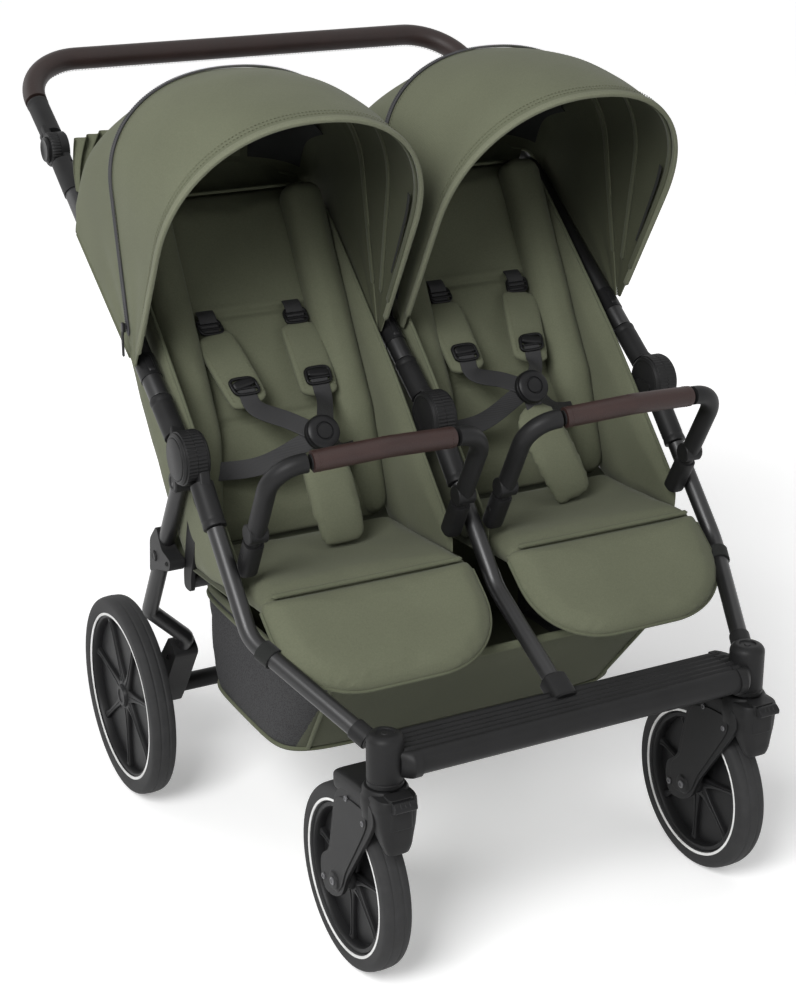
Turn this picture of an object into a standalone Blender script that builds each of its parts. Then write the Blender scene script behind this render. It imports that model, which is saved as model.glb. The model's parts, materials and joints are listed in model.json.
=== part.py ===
"""Side-by-side double pushchair: folding tube frame, castors, two seats with canopies, basket.

Metres. X runs across (the left seat is at -X), Y from front (-) to rear (+), Z up.
Lengths are worked out from a Y zero on the frame hinge, and the whole model is then moved
along Y so that its box is centred there and stands on Z zero.
"""

import math

import bmesh
import bpy
from mathutils import Matrix, Vector

CLEAR = 0.0003  # gap between two pieces that seat on each other
PIN_R = 0.006  # every joint turns on a round pin of this size
BORE_R = PIN_R + 2 * CLEAR
SIDES = (("left", -1), ("right", 1))

# Frame hinges. The side hinges set the width of the frame.
HINGE_X = 0.350
HINGE_Z = 0.5955
DRUM_R = 0.035
DRUM_W = 0.036
CAP_R = DRUM_R - 0.006
CAP_T = 0.0012
SLEEVE_START = DRUM_R + 0.002
NECK_AT = DRUM_R - 0.009
SLEEVE_END = 0.100

# Wheels.
REAR_WHEEL_R = 0.1455
REAR_TYRE_W = 0.036
REAR_WHEEL_X = HINGE_X
REAR_AXLE_Y = 0.278
FRONT_WHEEL_R = 0.120
FRONT_TYRE_W = 0.038
TYRE_DEPTH = 0.024
RIM_BAND = 0.008
HUB_R = 0.017
SPOKES = 7
SPOKE_W = 0.009
SPOKE_T = 0.010
HUB_INSET = 0.005
STUB_LENGTH = 0.022
WHEEL_STEPS = 24

# Castors: the crown of the fork stands over the tyre, and the post on the crown.
CASTOR_INSET = 0.090
CASTOR_X = HINGE_X - CASTOR_INSET
CASTOR_Y = -0.360
CASTOR_TRAIL = 0.082
CROWN_BOTTOM = 2 * FRONT_WHEEL_R + 0.006
CROWN_HEIGHT = 0.042
CROWN_R = 0.030
POST_R = 0.0225
POST_BOTTOM = CROWN_BOTTOM + CROWN_HEIGHT
POST_TOP = POST_BOTTOM + 0.067
CHEEK_T = 0.006
CHEEK_GAP = 0.003
CHEEK_END_R = 0.020
STEM_LENGTH = 0.030
LOCK_HALF = 0.016
LOCK_REACH = 0.025

# Front bar between the castor posts, and the deck behind it.
BAR_Y = -0.377
BAR_Z = POST_TOP - 0.037
BAR_R = 0.0175
DECK_BACK = -0.325
DECK_TOP = BAR_Z + BAR_R - 0.001
DECK_T = 0.012
GROOVES = 5
GROOVE_D = 0.003

# Front tubes: from the hinges to a bend, and on to the castor posts and the deck.
FRONT_TUBE_R = 0.0113
FRONT_TUBE_X = HINGE_X - 0.006
FRONT_BEND = (-0.167, HINGE_Z - 0.1835)
FRONT_BEND_R = 0.060
FRONT_FOOT_Z = POST_TOP - 0.028
CENTRE_FOOT_Z = DECK_TOP - 0.002
CENTRE_SOCKET = 0.022

# Upper tubes: their axis passes a little below the middle of the hinges.
UPPER_TUBE_R = 0.0135
UPPER_TUBE_X = HINGE_X + 0.002
UPPER_ANGLE = math.radians(35.5)
UPPER_DROP = 0.0071
UPPER_LENGTH = 0.5465
TOP_BAR_R = 0.010
TOP_BAR_AT = 0.475
SOCKET_START = TOP_BAR_AT - 0.015
CLAMP_R = UPPER_TUBE_R + 0.0011
SLEEVE_R = UPPER_TUBE_R + 0.0017
ARM_R = UPPER_TUBE_R + 0.0013

# Handle.
HANDLE_ANGLE = math.radians(31.9)
HANDLE_LENGTH = 0.1845
HANDLE_R = ARM_R + 0.001
HANDLE_CORNER_R = 0.085
ARM_END = 0.096
JOINT_R = 0.0235
JOINT_W = 0.0125
BUTTON_R = JOINT_R - 0.006
BUTTON_OUT = 0.0055
BUTTON_SEAT = 0.0015
BUTTON_TRAVEL = 0.0025

# Rear legs, and the beam that carries the brake housings and the rear wheels.
REAR_PIVOT = (0.036, HINGE_Z - 0.0435)
REAR_LEG_R = 0.0112
REAR_LEG_X = HINGE_X - 0.002
LUG_X = (HINGE_X - 0.020, HINGE_X - 0.014)
EYE_R = 0.0138
HOUSING_HALF = 0.0175
HOUSING_GAP = 0.022
HOUSING_X = REAR_WHEEL_X - REAR_TYRE_W / 2 - HOUSING_GAP - HOUSING_HALF
HOUSING_TOP = (REAR_AXLE_Y - 0.079, REAR_WHEEL_R + 0.1005)
REAR_KNEE = (HOUSING_TOP[0] - 0.021, HOUSING_TOP[1] + 0.070)
BRACKET_AT = 0.150
AXLE_BEAM_R = 0.013
PEDAL_HALF = 0.055
PEDAL_ROOT_R = 0.005

# Seats, between the hinges.
SEAT_X = HINGE_X / 2
PAD_HALF = SEAT_X - 0.029
SEAT_FRONT = (-0.150, HINGE_Z - 0.136)
SEAT_BACK = (0.062, HINGE_Z - 0.1495)
PAD_T = 0.034
PAD_EDGE_DROP = 0.006
WING_T = 0.007
BACK_ANGLE = math.radians(60.0)
BACK_LENGTH = 0.485
BACK_HALF = PAD_HALF - 0.014
BACK_T = 0.030
LEG_REST_END = (-0.262, HINGE_Z - 0.2295)
LEG_REST_T = 0.030
LEG_REST_HALF = PAD_HALF - 0.004
LEG_REST_CORNER = 0.74

# Side wings of a seat, from the hinge: back along the lower edge from the front end.
WING = (
    (-0.088, -0.1555),
    (-0.092, -0.1215),
    (0.000, -0.0495),
    (0.150, 0.0605),
    (0.272, 0.1525),
    (0.285, 0.1045),
    (0.250, 0.0385),
    (0.146, -0.0905),
    (0.098, -0.1455),
    (0.060, -0.1655),
)

# The bar under the seats touches the underside of their pads.
SEAT_BAR_Y = 0.060
SEAT_BAR_R = 0.010
SEAT_BAR = (SEAT_BAR_Y, SEAT_BACK[1] - PAD_T - SEAT_BAR_R - CLEAR)

# Harness.
SLOT_AT = 0.312
BUCKLE = (0.030, HINGE_Z + 0.0015)
CROTCH_FOOT_Y = -0.060
CROTCH_HEAD = (0.026, HINGE_Z - 0.0355)

# Bumper bars.
BUMPER_PIVOT = (-0.106, HINGE_Z - 0.1135)
BUMPER_TOP = (-0.188, HINGE_Z + 0.0385)
BUMPER_HALF = PAD_HALF - 0.002
BUMPER_R = 0.0122
BUMPER_CORNER_R = 0.042
COVER_HALF = 0.098
COVER_R = BUMPER_R + 0.0012
COVER_BORE = BUMPER_R - 0.0022

# Canopies: they turn about clamps on the upper tubes.
CANOPY_AT = 0.1497
CANOPY_T = 0.0024
CANOPY_FRONT_R = 0.394
CANOPY_ZIP_R = CANOPY_FRONT_R - 0.0225
CANOPY_REAR_R = CANOPY_ZIP_R - 0.0055
CANOPY_DEPTH = 0.236
CANOPY_SLACK = 0.010
CANOPY_EAR_R = 0.016
RIM_ANGLE = 120.7
ZIP_ANGLE = 77.5
REAR_ANGLE = 39.8
CANOPY_SHARES = (0.50, 0.62, 0.88)
CANOPY_CURVE = 2.2

# Basket.
BASKET_HALF = HINGE_X - 0.078
BASKET_TOP = HINGE_Z - 0.2505
BASKET_DEPTH = 0.155
BASKET_BOTTOM = BASKET_TOP - BASKET_DEPTH
BASKET_FRONT_TOP = -0.205
BASKET_FRONT_BOTTOM = -0.120
BASKET_REAR = 0.176
BASKET_WALL = 0.004

# Box of the whole, along Y.
FRONT_MOST = CASTOR_Y - CROWN_R - LOCK_REACH
JOINT_Y = UPPER_LENGTH * math.cos(UPPER_ANGLE) + UPPER_DROP * math.sin(UPPER_ANGLE)
REAR_MOST = JOINT_Y + HANDLE_LENGTH * math.cos(HANDLE_ANGLE) + HANDLE_R
SHIFT_Y = -(FRONT_MOST + REAR_MOST) / 2


def clear_scene():
    for found in list(bpy.data.objects):
        bpy.data.objects.remove(found, do_unlink=True)


def finish(name, colour, roughness, metallic=0.0):
    material = bpy.data.materials.new(name)
    material.use_nodes = True
    shader = material.node_tree.nodes["Principled BSDF"]
    shader.inputs["Base Color"].default_value = (*colour, 1.0)
    shader.inputs["Roughness"].default_value = roughness
    shader.inputs["Metallic"].default_value = metallic
    return material


def pivot(name, y, z, x=0.0, parent=None):
    """An empty on a joint axis, given in the same coordinates as the pieces."""
    empty = bpy.data.objects.new(name, None)
    bpy.context.collection.objects.link(empty)
    empty["place"] = (x, y, z)
    empty.parent = parent
    base = Vector(parent["place"]) if parent else Vector((0.0, -SHIFT_Y, 0.0))
    empty.location = Vector((x, y, z)) - base
    return empty


def mesh_from(bm, name):
    bmesh.ops.remove_doubles(bm, verts=bm.verts, dist=1e-6)
    bmesh.ops.recalc_face_normals(bm, faces=bm.faces)
    mesh = bpy.data.meshes.new(name)
    bm.to_mesh(mesh)
    bm.free()
    return mesh


def piece(name, mesh, material, carrier, adds=(), cuts=()):
    """A finished node: its base mesh, with other meshes joined to it and cut from it."""
    mesh.name = name
    home = Vector(carrier["place"])
    mesh.transform(Matrix.Translation(-home))
    made = bpy.data.objects.new(name, mesh)
    bpy.context.collection.objects.link(made)
    made.parent = carrier
    mesh.materials.clear()
    mesh.materials.append(material)
    for operation, others in (("UNION", adds), ("DIFFERENCE", cuts)):
        for count, other in enumerate(others):
            other.transform(Matrix.Translation(-home))
            helper = bpy.data.objects.new(f"{name}_{operation.lower()}_{count}", other)
            bpy.context.collection.objects.link(helper)
            helper.parent = carrier
            helper.hide_render = True
            helper.display_type = "WIRE"
            step = made.modifiers.new(helper.name, "BOOLEAN")
            step.operation = operation
            step.object = helper
    mesh.shade_smooth()
    mesh.set_sharp_from_angle(angle=math.radians(35))
    return made


def prism(outline, end, other_end):
    """A closed outline of (y, z) points, extruded along X between two ends."""
    bm = bmesh.new()
    low, high = sorted((end, other_end))
    base = bm.faces.new([bm.verts.new((low, y, z)) for y, z in outline])
    moved = bmesh.ops.extrude_face_region(bm, geom=[base])["geom"]
    fresh = [item for item in moved if isinstance(item, bmesh.types.BMVert)]
    bmesh.ops.translate(bm, vec=(high - low, 0, 0), verts=fresh)
    return mesh_from(bm, "prism")


def turned(profile, centre, direction=(1, 0, 0), steps=24):
    """A profile of (radius, distance along the axis) turned round an axis through centre."""
    bm = bmesh.new()
    closed = profile[0] != profile[-1] and profile[0][0] > 0 and profile[-1][0] > 0
    points = [bm.verts.new((r, 0.0, h)) for r, h in profile]
    edges = [bm.edges.new(pair) for pair in zip(points, points[1:])]
    if closed:
        edges.append(bm.edges.new((points[-1], points[0])))
    bmesh.ops.spin(
        bm,
        geom=points + edges,
        axis=(0, 0, 1),
        cent=(0, 0, 0),
        steps=steps,
        angle=math.tau,
    )
    bmesh.ops.remove_doubles(bm, verts=bm.verts, dist=1e-6)
    aim = Vector(direction).to_track_quat("Z", "Y").to_matrix().to_4x4()
    bm.transform(Matrix.Translation(centre) @ aim)
    return mesh_from(bm, "turned")


def rod(start, end, radius, steps=12, chamfer=0.0):
    """A round bar from start to end, its rims cut at 45 degrees by chamfer."""
    length = (Vector(end) - Vector(start)).length
    profile = [(0.0, 0.0), (radius, 0.0), (radius, length), (0.0, length)]
    if chamfer:
        profile[1:3] = [
            (radius - chamfer, 0.0),
            (radius, chamfer),
            (radius, length - chamfer),
            (radius - chamfer, length),
        ]
    return turned(profile, start, Vector(end) - Vector(start), steps)


def rounded_path(corners, radius, steps=5):
    """The corners of a route, with every inner one replaced by an arc of this radius."""
    corners = [Vector(c) for c in corners]
    path = [corners[0]]
    for before, here, after in zip(corners, corners[1:], corners[2:]):
        inward = (before - here).normalized()
        outward = (after - here).normalized()
        turn = math.pi - inward.angle(outward)
        reach = radius * math.tan(turn / 2)
        middle = here + (inward + outward).normalized() * radius / math.cos(turn / 2)
        first = here + inward * reach - middle
        axis = first.cross(here + outward * reach - middle).normalized()
        for step in range(steps + 1):
            path.append(middle + Matrix.Rotation(turn * step / steps, 3, axis) @ first)
    path.append(corners[-1])
    return path


def tube(path, radius, resolution=2):
    """A capped round tube along a path, made by a curve with a bevel."""
    curve = bpy.data.curves.new("route", "CURVE")
    curve.dimensions = "3D"
    curve.bevel_depth = radius
    curve.bevel_resolution = resolution
    curve.use_fill_caps = True
    spline = curve.splines.new("POLY")
    spline.points.add(len(path) - 1)
    for point, place in zip(spline.points, path):
        point.co = (*place, 1.0)
    guide = bpy.data.objects.new("route", curve)
    bpy.context.collection.objects.link(guide)
    bpy.context.view_layer.update()
    shape = guide.evaluated_get(bpy.context.evaluated_depsgraph_get())
    bm = bmesh.new()
    bm.from_mesh(shape.to_mesh())
    bpy.data.objects.remove(guide, do_unlink=True)
    return mesh_from(bm, "tube")


def block(corner, other, bevel=0.0, turn=None):
    """A box between two corners, its edges rounded by bevel, and turned about its middle."""
    bm = bmesh.new()
    bmesh.ops.create_cube(bm, size=1.0)
    low = Vector([min(pair) for pair in zip(corner, other)])
    high = Vector([max(pair) for pair in zip(corner, other)])
    bmesh.ops.scale(bm, vec=high - low, verts=bm.verts)
    if bevel:
        bmesh.ops.bevel(bm, geom=bm.edges[:], offset=bevel, segments=1, affect="EDGES")
    if turn:
        bmesh.ops.rotate(bm, matrix=turn, verts=bm.verts)
    bmesh.ops.translate(bm, vec=(low + high) / 2, verts=bm.verts)
    return mesh_from(bm, "block")


def grid_solid(front, back, across, along):
    """A closed body between two surfaces, each a function of shares u and v from 0 to 1."""
    bm = bmesh.new()
    sheets = []
    for surface in (front, back):
        rows = [
            [bm.verts.new(surface(i / across, j / along)) for i in range(across + 1)]
            for j in range(along + 1)
        ]
        sheets.append(rows)
        for low, high in zip(rows, rows[1:]):
            for i in range(across):
                bm.faces.new((low[i], low[i + 1], high[i + 1], high[i]))
    for top, bottom in zip(rims(sheets[0]), rims(sheets[1])):
        for i in range(len(top) - 1):
            bm.faces.new((top[i], top[i + 1], bottom[i + 1], bottom[i]))
    return mesh_from(bm, "sheet")


def rims(rows):
    """The four edges of a grid of vertices."""
    return (
        rows[0],
        rows[-1],
        [row[0] for row in rows],
        [row[-1] for row in rows],
    )


def along_upper(distance):
    """(y, z) at a distance from the hinge up the axis of the upper tubes."""
    c, s = math.cos(UPPER_ANGLE), math.sin(UPPER_ANGLE)
    return distance * c + UPPER_DROP * s, HINGE_Z + distance * s - UPPER_DROP * c


def along_front(distance):
    """(y, z) at a distance from the hinge down the first stretch of the front tubes."""
    run = Vector((FRONT_BEND[0], FRONT_BEND[1] - HINGE_Z)).normalized() * distance
    return run.x, HINGE_Z + run.y


JOINT_Z = along_upper(UPPER_LENGTH)[1]
CANOPY_PIVOT = along_upper(CANOPY_AT)
FRONT_AXLE_Y = CASTOR_Y + CASTOR_TRAIL


def add_wheel(kind, side, carrier, centre, width, tyre_material, rim_material, bore):
    """A tyre on a rim: a band, a bored hub and seven straight spokes between them."""
    x, y, radius = centre
    half = width / 2
    seat = radius - TYRE_DEPTH
    tread = [
        (seat, -half + 0.004),
        (radius - 0.010, -half),
        (radius - 0.0015, -half * 0.5),
        (radius, 0.0),
        (radius - 0.0015, half * 0.5),
        (radius - 0.010, half),
        (seat, half - 0.004),
    ]
    tyre = turned(tread, centre, steps=WHEEL_STEPS)
    piece(f"{kind}_tyre_{side}", tyre, tyre_material, carrier)
    band = seat - CLEAR
    inner = band - RIM_BAND
    flat = half - HUB_INSET
    profile = [(inner, -flat), (band, -flat), (band, flat), (inner, flat)]
    outline = []
    for number in range(SPOKES):
        turn = number * math.tau / SPOKES
        tip = inner + RIM_BAND / 2
        for reach, edge in ((HUB_R, -1), (tip, -1), (tip, 1), (HUB_R, 1)):
            lean = turn + edge * math.asin(SPOKE_W / 2 / reach)
            outline.append((y + reach * math.cos(lean), radius + reach * math.sin(lean)))
    spokes = prism(outline, x - SPOKE_T / 2, x + SPOKE_T / 2)
    hub = rod((x - flat, y, radius), (x + flat, y, radius), HUB_R)
    hole = rod((bore[0], y, radius), (bore[1], y, radius), BORE_R)
    ring = turned(profile, centre, steps=WHEEL_STEPS)
    name = f"{kind}_rim_{side}"
    piece(name, ring, rim_material, carrier, adds=(spokes, hub), cuts=(hole,))


def add_front_bar(carrier, material):
    """Rounded bar with a grooved foot deck behind it, and the socket of the centre tube."""
    outline = []
    for number in range(9):
        turn = math.radians(20 + 320 * number / 8)
        y = BAR_Y + BAR_R * math.cos(turn)
        z = BAR_Z + BAR_R * math.sin(turn)
        outline.append((y, z))
    outline = outline[1:-1]
    below = DECK_TOP - DECK_T
    outline += [(BAR_Y + BAR_R * 0.8, below), (DECK_BACK, below), (DECK_BACK, DECK_TOP)]
    first = BAR_Y + 0.012
    pitch = (DECK_BACK - 0.004 - first) / GROOVES
    for number in reversed(range(GROOVES)):
        near = first + pitch * number
        outline += [
            (near + pitch, DECK_TOP),
            (near + pitch * 0.8, DECK_TOP - GROOVE_D),
            (near + pitch * 0.4, DECK_TOP - GROOVE_D),
            (near + pitch * 0.2, DECK_TOP),
        ]
    reach = CASTOR_X - POST_R - CLEAR
    foot = Vector((0, DECK_BACK, CENTRE_FOOT_Z))
    run = (foot - Vector((0, *FRONT_BEND))).normalized()
    adds = [rod(foot + run * 0.020, foot - run * CENTRE_SOCKET, FRONT_TUBE_R + 0.004)]
    for _, x in SIDES:
        stub = (x * (reach - 0.006), BAR_Y + 0.004, BAR_Z - 0.012)
        stub_end = (x * reach, CASTOR_Y + 0.010, DECK_TOP - 0.001)
        adds.append(block(stub, stub_end, 0.001))
    piece("front_crossbar", prism(outline, -reach, reach), material, carrier, adds=adds)


def add_castor(side, x, carrier, plastic, tyre, rim):
    """Castor post, swivelling fork with stem, cheeks and axle pin, sliding lock, and wheel."""
    px = x * CASTOR_X
    cap = [
        (0.0, POST_TOP),
        (POST_R - 0.009, POST_TOP),
        (POST_R - 0.003, POST_TOP - 0.003),
        (POST_R, POST_TOP - 0.009),
        (POST_R, POST_BOTTOM),
        (0.0, POST_BOTTOM),
    ]
    post = turned([(r, -h) for r, h in cap], (px, CASTOR_Y, 0), (0, 0, -1), 20)
    stem_top = POST_BOTTOM + STEM_LENGTH
    socket = rod((px, CASTOR_Y, POST_BOTTOM - 0.01), (px, CASTOR_Y, stem_top + CLEAR), BORE_R)
    piece(f"castor_post_{side}", post, plastic, carrier, cuts=(socket,))
    swivel = pivot(f"castor_{side}_axis", CASTOR_Y, POST_BOTTOM, px, carrier)
    top = POST_BOTTOM - CLEAR
    low = CROWN_BOTTOM
    crown = rod((px, CASTOR_Y, low), (px, CASTOR_Y, top), CROWN_R, 20)
    stem = rod((px, CASTOR_Y, low + 0.010), (px, CASTOR_Y, stem_top), PIN_R)
    gap = FRONT_TYRE_W / 2 + CHEEK_GAP
    outer = gap + CHEEK_T
    bridge = block(
        (px - outer, CASTOR_Y - 0.004, low), (px + outer, FRONT_AXLE_Y + 0.012, top - 0.004)
    )
    boss_y = CASTOR_Y - CROWN_R - 0.003
    boss = block((px - LOCK_HALF, boss_y, low), (px + LOCK_HALF, CASTOR_Y, top))
    outline = [
        (CASTOR_Y - 0.012, low + 0.016),
        (CASTOR_Y - 0.012, low - 0.030),
        (FRONT_AXLE_Y - 0.026, FRONT_WHEEL_R + 0.020),
    ]
    for number in range(6):
        turn = math.radians(200 + 170 * number / 5)
        reach = Vector((math.cos(turn), math.sin(turn))) * CHEEK_END_R
        outline.append((FRONT_AXLE_Y + reach.x, FRONT_WHEEL_R + reach.y))
    outline += [(FRONT_AXLE_Y + 0.013, low), (FRONT_AXLE_Y + 0.008, low + 0.016)]
    cheeks = [prism(outline, px + s * gap, px + s * outer) for s in (-1, 1)]
    shim = FRONT_TYRE_W / 2 - HUB_INSET + CLEAR
    bosses = []
    for s in (-1, 1):
        ends = [(px + s * far, FRONT_AXLE_Y, FRONT_WHEEL_R) for far in (shim, outer + 0.003)]
        bosses.append(rod(*ends, 0.0105))
    pin = rod(
        (px - outer, FRONT_AXLE_Y, FRONT_WHEEL_R), (px + outer, FRONT_AXLE_Y, FRONT_WHEEL_R), PIN_R
    )
    adds = (stem, boss, bridge, *cheeks, *bosses, pin)
    piece(f"castor_fork_{side}", crown, plastic, swivel, adds=adds)
    near = boss_y - CLEAR
    lock_outline = [
        (near, top - 0.0145),
        (near, top - 0.001),
        (near - 0.012, top - 0.001),
        (FRONT_MOST, top - 0.006),
        (FRONT_MOST, top - 0.0115),
        (near - 0.008, top - 0.0145),
    ]
    lock = prism(lock_outline, px - LOCK_HALF + 0.001, px + LOCK_HALF - 0.001)
    slider = pivot(f"castor_lock_{side}_axis", near, top - 0.008, px, swivel)
    piece(f"castor_lock_{side}", lock, plastic, slider)
    axle = pivot(f"front_wheel_{side}_axis", FRONT_AXLE_Y, FRONT_WHEEL_R, px, swivel)
    centre = (px, FRONT_AXLE_Y, FRONT_WHEEL_R)
    bore = (px - FRONT_TYRE_W, px + FRONT_TYRE_W)
    add_wheel("front", side, axle, centre, FRONT_TYRE_W, tyre, rim, bore)


def add_hinge(label, centre, outward, frame, upper, material):
    """Both halves of one drum hinge: discs, the sockets of the tubes, and the pin they turn on."""
    half = DRUM_W / 2
    spans = {
        "lower": sorted((centre - outward * half, centre - outward * CLEAR / 2)),
        "upper": sorted((centre + outward * CLEAR / 2, centre + outward * half)),
    }
    front_angle = math.atan2(FRONT_BEND[1] - HINGE_Z, FRONT_BEND[0])
    tube_x = {
        "lower": outward * FRONT_TUBE_X if centre else 0.0,
        "upper": outward * UPPER_TUBE_X if centre else 0.0,
    }
    bodies = {}
    for name, angle, at in (("lower", front_angle, along_front), ("upper", UPPER_ANGLE, along_upper)):
        low, high = spans[name]
        disc = rod((low, 0.0, HINGE_Z), (high, 0.0, HINGE_Z), DRUM_R, 20)
        run = Vector((0.0, math.cos(angle), math.sin(angle))) * NECK_AT
        middle = Vector(((low + high) / 2, run.y, HINGE_Z + run.z))
        size = Vector(((high - low) / 2 - CLEAR, 0.018, 0.012))
        neck = block(middle - size, middle + size, 0.0, Matrix.Rotation(angle, 3, "X"))
        ends = [(tube_x[name], *at(reach)) for reach in (SLEEVE_START, SLEEVE_END)]
        bodies[name] = (disc, [neck, rod(*ends, SLEEVE_R)])
    pin_ends = [centre - outward * (half - 0.003), centre + outward * half / 2]
    pin = rod((pin_ends[0], 0.0, HINGE_Z), (pin_ends[1], 0.0, HINGE_Z), PIN_R)
    hole_ends = [centre - outward * (half - 0.003 + CLEAR), centre + outward * half / 2]
    hole = rod((hole_ends[0], 0.0, HINGE_Z), (hole_ends[1], 0.0, HINGE_Z), BORE_R)
    bodies["upper"][1].append(pin)
    if centre:
        y, z = REAR_PIVOT
        sy, sz = SEAT_BAR
        lug = [(-0.020, HINGE_Z), (0.016, HINGE_Z), (y + 0.014, z), (y + 0.004, z - 0.020)]
        lug += [(sy + 0.012, sz + 0.010), (sy + 0.012, sz - 0.012)]
        lug += [(sy - 0.012, sz - 0.012), (sy - 0.014, sz + 0.012)]
        bodies["lower"][1].append(prism(lug, *(outward * far for far in LUG_X)))
        pivot_ends = [outward * (LUG_X[0] + 0.001), outward * (REAR_LEG_X + 0.006)]
        bodies["lower"][1].append(rod((pivot_ends[0], y, z), (pivot_ends[1], y, z), PIN_R))
        face = centre + outward * half
        ends = [(face + outward * far, 0.0, HINGE_Z) for far in (-0.002, CAP_T)]
        bodies["upper"][1].append(rod(*ends, CAP_R, 16))
    disc, adds = bodies["lower"]
    piece(f"hinge_lower_{label}", disc, material, frame, adds=adds, cuts=(hole,))
    disc, adds = bodies["upper"]
    piece(f"hinge_upper_{label}", disc, material, upper, adds=adds)


def add_hinges(frame, upper, material):
    for side, x in SIDES:
        add_hinge(side, x * HINGE_X, x, frame, upper, material)
    add_hinge("centre", 0.0, 1, frame, upper, material)


def add_front_tubes(carrier, material):
    start = along_front(SLEEVE_END + CLEAR)
    for side, x in SIDES:
        bend = Vector((x * FRONT_TUBE_X, *FRONT_BEND))
        post = Vector((x * CASTOR_X, CASTOR_Y, FRONT_FOOT_Z))
        run = (post - bend).normalized()
        level = math.hypot(run.x, run.y)
        back_off = (POST_R + CLEAR + FRONT_TUBE_R * abs(run.z)) / level
        foot = post - run * back_off
        path = rounded_path([(x * FRONT_TUBE_X, *start), bend, foot], FRONT_BEND_R)
        piece(f"front_tube_{side}", tube(path, FRONT_TUBE_R), material, carrier)
    foot = Vector((0, DECK_BACK, CENTRE_FOOT_Z))
    bend = Vector((0, *FRONT_BEND))
    run = (foot - bend).normalized()
    end = foot - run * (CENTRE_SOCKET + CLEAR)
    path = rounded_path([(0, *start), bend, end], FRONT_BEND_R)
    piece("front_tube_centre", tube(path, FRONT_TUBE_R), material, carrier)


def clamp_on_upper(x):
    """The round canopy clamp on an upper tube."""
    low, high = along_upper(CANOPY_AT - 0.016), along_upper(CANOPY_AT + 0.016)
    return rod((x, *low), (x, *high), CLAMP_R, 14)


def add_upper_tubes(carrier, material):
    start = along_upper(SLEEVE_END + CLEAR)
    for side, x in SIDES:
        tx = x * UPPER_TUBE_X
        socket_end = UPPER_LENGTH - JOINT_R - 0.002
        path = [Vector((tx, *start)), Vector((tx, *along_upper(socket_end - 0.010)))]
        socket = rod((tx, *along_upper(SOCKET_START)), (tx, *along_upper(socket_end)), ARM_R, 14)
        face = tx - x * CLEAR / 2
        drum = rod((face - x * JOINT_W, JOINT_Y, JOINT_Z), (face, JOINT_Y, JOINT_Z), JOINT_R, 16)
        neck_x = face - x * JOINT_W / 2
        neck_ends = [(neck_x, *along_upper(UPPER_LENGTH - reach)) for reach in (0.034, 0.012)]
        neck = rod(*neck_ends, JOINT_W / 2 - 0.0008, 8)
        hole = rod((face - x * 0.0093, JOINT_Y, JOINT_Z), (face + x * 0.01, JOINT_Y, JOINT_Z), BORE_R)
        piece(
            f"upper_tube_{side}",
            tube(path, UPPER_TUBE_R),
            material,
            carrier,
            adds=(clamp_on_upper(tx), socket, neck, drum),
            cuts=(hole,),
        )
    top = along_upper(TOP_BAR_AT)
    path = [Vector((0, *start)), Vector((0, *top))]
    piece(
        "upper_tube_centre",
        tube(path, UPPER_TUBE_R),
        material,
        carrier,
        adds=(clamp_on_upper(0.0),),
        cuts=(rod((-0.05, *top), (0.05, *top), TOP_BAR_R + CLEAR),),
    )
    reach = UPPER_TUBE_X - ARM_R - CLEAR
    piece("back_crossbar", rod((-reach, *top), (reach, *top), TOP_BAR_R), material, carrier)


def add_handle(carrier, plastic, leather):
    """Handle bar on two tilting joints, with a push button on each."""
    tilt = pivot("handle_tilt_axis", JOINT_Y, JOINT_Z, 0.0, carrier)
    c, s = math.cos(HANDLE_ANGLE), math.sin(HANDLE_ANGLE)

    def at(x, distance):
        return Vector((x, JOINT_Y + distance * c, JOINT_Z + distance * s))

    ends = [HINGE_X * x for _, x in SIDES]
    corners = [
        at(ends[0], ARM_END + CLEAR),
        at(ends[0], HANDLE_LENGTH),
        at(ends[1], HANDLE_LENGTH),
        at(ends[1], ARM_END + CLEAR),
    ]
    grip = tube(rounded_path(corners, HANDLE_CORNER_R, 6), HANDLE_R, 3)
    piece("handle_grip", grip, leather, tilt)
    for side, x in SIDES:
        inner = x * (UPPER_TUBE_X + CLEAR / 2)
        outer = inner + x * JOINT_W
        disc = rod((inner, JOINT_Y, JOINT_Z), (outer, JOINT_Y, JOINT_Z), JOINT_R, 16)
        arm = rod(at(x * HINGE_X, JOINT_R + 0.002), at(x * HINGE_X, ARM_END), ARM_R, 14)
        neck_x = (inner + outer) / 2
        neck = rod(at(neck_x, 0.019), at(neck_x, 0.034), JOINT_W / 2 - 0.0008, 8)
        tip = inner - x * 0.009
        pin = rod((tip, JOINT_Y, JOINT_Z), (inner + x * 0.002, JOINT_Y, JOINT_Z), PIN_R)
        root = outer - x * BUTTON_SEAT
        floor = root - x * (BUTTON_TRAVEL + CLEAR)
        ends = [(floor, JOINT_Y, JOINT_Z), (outer + x * 0.01, JOINT_Y, JOINT_Z)]
        recess = rod(*ends, BUTTON_R + CLEAR, 16)
        piece(f"handle_arm_{side}", disc, plastic, tilt, adds=(arm, neck, pin), cuts=(recess,))
        press = pivot(f"handle_button_{side}_axis", JOINT_Y, JOINT_Z, outer, tilt)
        end = outer + x * BUTTON_OUT
        button = rod((root, JOINT_Y, JOINT_Z), (end, JOINT_Y, JOINT_Z), BUTTON_R, 16)
        piece(f"handle_button_{side}", button, plastic, press)


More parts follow.
